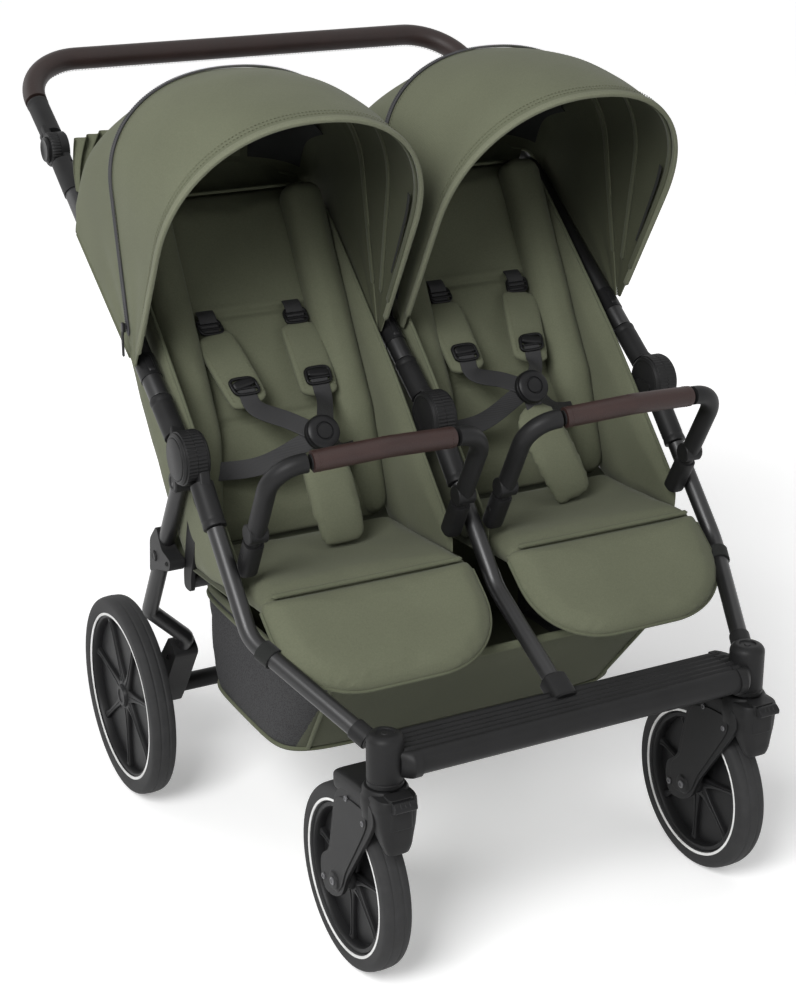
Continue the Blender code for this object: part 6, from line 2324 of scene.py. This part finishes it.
@dataclass
class Basket:
    """A lofted bag hung between the tubes: net sides, woven front, back and floor."""

    half: float = 0.272
    bottom: float = 0.176
    inner_floor: float = 0.1935
    top: float = 0.345
    front_top: float = -0.205
    front_bottom: float = -0.074
    rear: float = 0.202
    thick: float = 0.0024

    def ring(self, level: float, steps: int, grow: float = 0.0) -> Array:
        """The bag's outline at a level from 0, the floor, to 1, the rim: a round-cornered box."""
        near = self.front_bottom + (self.front_top - self.front_bottom) * level
        middle, reach = (near + self.rear) / 2, (self.rear - near) / 2 - 0.0035 + grow
        half = self.half - 0.012 * (1 - level) ** 2 - 0.0035 + grow
        turn = np.arange(steps) * math.tau / steps
        c, s = np.cos(turn), np.sin(turn)
        power = 2 / (7.0 + 3.0 * level)
        x = half * np.sign(c) * np.abs(c) ** power
        y = middle + reach * np.sign(s) * np.abs(s) ** power
        sag = 0.0028 * math.sin(math.pi * level)
        slack = bulge((y - near) / (self.rear - near), 2.0).clip(0, 1)
        belly = 0.013 * math.sin(math.pi * level) ** 0.8 * slack
        gather = 0.0012 * np.sin(turn * 46) * max(0.0, level - 0.72) / 0.28 * (y < middle)
        x, y = x * (1 + belly / half), y + (gather - sag * np.sign(y - middle))
        corner = np.clip(np.abs(x / half), 0, 1) ** 8
        pinch = 0.030 * math.exp(-(((level - 0.56) / 0.17) ** 2)) * corner
        y = y - pinch * (y > self.rear - 0.06)
        z = np.full(steps, self.bottom + 0.004 + (self.top - self.bottom - 0.006) * level)
        return np.stack([x, y, z], -1)

    def walls(self, steps: int, grow: float) -> Array:
        """Rings from the middle of the floor outwards, and then up to the rim."""
        floor = self.ring(0.0, steps, grow)
        centre = floor.mean(0)
        rows = []
        for share in np.linspace(0.02, 0.94, 12):
            ring = centre + (floor - centre) * share
            ring[:, 2] = floor[:, 2] - grow - 0.003 * (1 - share**2)
            rows.append(ring)
        for turn in np.linspace(0.2, 1.0, 5):
            ring = centre + (floor - centre) * (0.94 + 0.06 * math.sin(turn * math.pi / 2))
            ring[:, 2] = floor[:, 2] - grow + 0.008 * (1 - math.cos(turn * math.pi / 2))
            rows.append(ring)
        for level in np.linspace(0.075, 1.0, 26):
            rows.append(self.ring(level, steps, grow))
        return np.stack(rows)

    def build(self) -> None:
        """Makes the bag, with a stiffened floor, its piping, elastic hem and hanging loops."""
        steps = 360
        outer, inner = self.walls(steps, 0.0), self.walls(steps, -self.thick)
        inner[..., 2] = np.maximum(inner[..., 2], self.inner_floor)
        count = outer.shape[0] * steps
        skin, lining = grid(outer, wrap_u=True), grid(inner, wrap_u=True)
        index = np.arange(count).reshape(-1, steps)
        first, last = index[0], index[-1]
        faces = skin.faces + [[i + count for i in face[::-1]] for face in lining.faces]
        faces += [first[::-1].tolist(), (first + count).tolist()]
        after = np.roll(last, -1)
        faces += np.stack([last, after, after + count, last + count], -1).tolist()
        bag = to_object("basket_bag", Form(np.vstack([skin.points, lining.points]), faces), 50)
        dress(bag, OLIVE_BASKET, "chassis", ["basket"])
        bag.data.materials.append(NET.material())
        middles = np.empty(len(bag.data.polygons) * 3)
        bag.data.polygons.foreach_get("center", middles)
        x, y, z = (middles.reshape(-1, 3) - [0, HINGE_Y, 0]).T
        rise = self.top - self.bottom
        front = self.front_bottom + (self.front_top - self.front_bottom) * (z - self.bottom) / rise
        net = (np.abs(x) > self.half - 0.030) & (y > front + 0.012) & (y < self.rear - 0.010)
        net &= (z > self.bottom + 0.012) & (z < self.top - 0.010)
        bag.data.polygons.foreach_set("material_index", net.astype(np.int32))
        floor, front, rear = 0.276, 0.217, 0.173
        self.trim()

    def trim(self) -> None:
        """Piping round the net, gathered elastic hem, seam welts, and loops on the front tubes."""
        rim = self.ring(1.0, 720)
        closed = np.vstack([rim, rim[:1]])
        gathers = 1 + 0.07 * np.sin(np.arange(721) * 1.1) * (closed[:, 1] < 0)
        hem = sweep(closed, rounded_box(0.0030, 0.0058, 3.0, 18), (0, 0, 1), gathers)
        parts = []
        for out in (-1, 1):
            corners = []
            for level in (0.06, 0.93):
                ring = self.ring(level, 720, 0.0008)
                row = ring[ring[:, 0] * out > 0]
                row = row[np.argsort(row[:, 1])]
                front = self.front_bottom + (self.front_top - self.front_bottom) * level
                row = row[(row[:, 1] > front + 0.012) & (row[:, 1] < self.rear - 0.010)]
                corners.append(row)
            low, high = corners
            up = [low[-1] + (high[-1] - low[-1]) * t for t in (0.25, 0.5, 0.75)]
            down = [high[0] + (low[0] - high[0]) * t for t in (0.25, 0.5, 0.75)]
            loop = np.vstack([low, up, high[::-1], down, low[:1]])
            loop = evenly(curve_through(evenly(loop, 60), 300), 300)
            parts.append(sweep(loop, circle(0.0030, 12), (1, 0, 0)))
        welt = self.ring(0.045, 720, 0.001)
        parts.append(sweep(np.vstack([welt, welt[:1]]), circle(0.0024, 12), (0, 0, 1)))
        made = to_object("basket_trim", joined([hem, *parts]))
        dress(made, OLIVE_PIPING, "chassis")
        loops = []
        for x in (-1, 1):
            share = (self.front_top + 0.012 - FRONT_BEND[0]) / (-0.360 - FRONT_BEND[0])
            tx = FRONT_X + (0.260 - FRONT_X) * share
            tz = FRONT_BEND[1] + (0.327 - FRONT_BEND[1]) * share
            middle = np.array([x * tx, self.front_top + 0.012, tz])
            run = unit(np.array([x * (0.260 - FRONT_X), -0.193, -0.085]))
            ring = [(0.0118, -0.010), (0.0140, -0.010), (0.0140, 0.010), (0.0118, 0.010)]
            loops.append(lathe(ring, middle, tuple(run), 40, ring=True))
            upper_end = [x * (self.half - 0.002), self.front_top + 0.012, self.top - 0.012]
            strap = np.array([middle - [0, 0, 0.0125], upper_end])
            section = rounded_box(0.010, 0.0011, 5.0, 18)
            loops.append(sweep(evenly(strap, 10), section, (0, -0.2, 1)))
        made = to_object("basket_loops", joined(loops), 35)
        dress(made, DARK_CLOTH_AND_SHADE, "chassis")


# Studio.


@dataclass
class Studio:
    """White sweep floor, soft lights and the photo's camera."""

    eye: tuple[float, float, float] = (-1.1902, -2.1928, 1.4232)
    yaw: float = 0.4832
    pitch: float = -0.3618
    roll: float = -0.0019
    focal: float = 1979.77
    centre: tuple[float, float] = (408.37, 498.13)

    def build(self) -> None:
        """Makes floor, world, lights and camera."""
        bpy.context.scene.view_settings.view_transform = "Standard"
        self.floor()
        self.world()
        self.lamp("key", (-2.7, -2.3, 3.0), (0, 0, 0.55), 1.9, 178.0)
        self.lamp("fill", (1.6, -3.4, 1.5), (0, 0, 0.5), 2.6, 14.0)
        self.lamp("top", (0.6, -0.6, 3.8), (0, 0, 0.6), 2.4, 12.0)
        self.lamp("rear", (-2.4, 2.6, 2.2), (0, 0, 0.7), 2.4, 22.0)
        self.camera()

    def floor(self) -> None:
        """A very large pale floor."""
        turn = np.arange(96) * math.tau / 96
        points = np.stack([30 * np.cos(turn), 30 * np.sin(turn), 0 * turn], -1)
        mesh = bpy.data.meshes.new("floor")
        mesh.from_pydata(points.tolist(), [], [list(range(96))])
        floor = bpy.data.objects.new("floor", mesh)
        bpy.context.scene.collection.objects.link(floor)
        painter = Painter("floor_white")
        painter.feed(painter.shader.inputs["Base Color"], (0.93, 0.93, 0.93, 1.0))
        painter.feed(painter.shader.inputs["Roughness"], 0.9)
        painter.feed(painter.shader.inputs["Specular IOR Level"], 0.1)
        seen = self.direct(painter.tree)
        painter.feed(painter.shader.inputs["Emission Color"], (1.0, 1.0, 1.0, 1.0))
        reach = painter.node("ShaderNodeVectorMath", {0: painter.place}, operation="LENGTH")
        away = reach.outputs["Value"]
        inputs = {"Value": away, "From Min": 0.5, "From Max": 2.2, "To Min": 0.30, "To Max": 0.75}
        glow = painter.node("ShaderNodeMapRange", inputs).outputs["Result"]
        strength = painter.maths("MULTIPLY", seen, glow)
        painter.feed(painter.shader.inputs["Emission Strength"], strength)
        floor.data.materials.append(painter.material)

    def world(self) -> None:
        """A white surround for the camera, and an even soft light for all else."""
        world = bpy.data.worlds.new("studio")
        world.use_nodes = True
        bpy.context.scene.world = world
        tree = world.node_tree
        seen = tree.nodes.new("ShaderNodeMath")
        seen.operation = "MULTIPLY_ADD"
        seen.inputs[1].default_value = 0.76
        seen.inputs[2].default_value = 0.24
        background = tree.nodes["Background"]
        background.inputs["Color"].default_value = (1.0, 1.0, 1.0, 1.0)
        tree.links.new(self.direct(tree), seen.inputs[0])
        tree.links.new(seen.outputs[0], background.inputs["Strength"])

    def direct(self, tree: bpy.types.NodeTree) -> bpy.types.NodeSocket:
        """1 where a ray comes from the camera, or from a gloss or clear surface."""
        paths = tree.nodes.new("ShaderNodeLightPath").outputs
        total = paths["Is Camera Ray"]
        for name in ("Is Glossy Ray", "Is Transmission Ray"):
            step = tree.nodes.new("ShaderNodeMath")
            step.operation = "MAXIMUM"
            tree.links.new(total, step.inputs[0])
            tree.links.new(paths[name], step.inputs[1])
            total = step.outputs[0]
        return total

    def lamp(
        self,
        name: str,
        at: tuple[float, ...],
        to: tuple[float, ...],
        size: float,
        power: float,
    ) -> None:
        """A square soft light aimed at a point."""
        light = bpy.data.lights.new(name, "AREA")
        light.shape = "SQUARE"
        light.size = size
        light.energy = power
        made = bpy.data.objects.new(name, light)
        made.location = at
        aim = Vector(to) - Vector(at)
        made.rotation_euler = aim.to_track_quat("-Z", "Y").to_euler()
        bpy.context.scene.collection.objects.link(made)

    def camera(self) -> None:
        """The photo's camera: its axes come from yaw, pitch and roll."""
        camera = bpy.data.cameras.new("camera")
        longest = max(IMAGE_WIDTH, IMAGE_HEIGHT)
        camera.sensor_width = 36.0
        camera.lens = self.focal / longest * 36.0
        camera.shift_x = -(self.centre[0] - IMAGE_WIDTH / 2) / longest
        camera.shift_y = (self.centre[1] - IMAGE_HEIGHT / 2) / longest
        camera.clip_end = 100.0
        made = bpy.data.objects.new("camera", camera)
        cy, sy = math.cos(self.yaw), math.sin(self.yaw)
        cp, sp = math.cos(self.pitch), math.sin(self.pitch)
        ahead = np.array([sy * cp, cy * cp, sp])
        right = np.array([cy, -sy, 0.0])
        up = np.cross(right, ahead)
        cr, sr = math.cos(self.roll), math.sin(self.roll)
        right, up = cr * right + sr * up, cr * up - sr * right
        turns = np.stack([right, up, -ahead], 1)
        rows = [[*row, place] for row, place in zip(turns, world(self.eye))]
        made.matrix_world = Matrix([*rows, [0, 0, 0, 1]])
        bpy.context.scene.collection.objects.link(made)
        bpy.context.scene.camera = made


def finish_rest() -> None:
    """Gives any frame node that is still shown a procedural finish of its own kind."""
    finishes = {
        "black_plastic": PLASTIC,
        "frame_paint": PAINT,
        "tyre": TYRE,
        "rim": RIM,
        "leather": HIDE,
    }
    nodes = frame["record"].get("nodes", [])
    slots = {node["name"]: node.get("material_slot", "black_plastic") for node in nodes}
    for name, node in frame["nodes"].items():
        if node.hide_render:
            continue
        finish = finishes.get(slots.get(name, "black_plastic"), OLIVE)
        node.data.materials.clear()
        node.data.materials.append(finish.material())
        LOG.warning("%s keeps its frame node", name)


def main() -> None:
    """Builds the pushchair's looks and its studio."""
    FrontBar().build()
    FrameTubes().build()
    Hinges().build()
    Handle().build()
    RearFrame().build()
    Basket().build()
    for side in Side:
        Castor(side).build()
        Seat(side).build()
        Harness(side).build()
        Bumper(side).build()
        Canopy(side).build()
    finish_rest()
    Studio().build()
    bpy.context.view_layer.update()


if __name__ == "__main__":
    logging.basicConfig(level=logging.INFO, format="%(message)s")
    main()
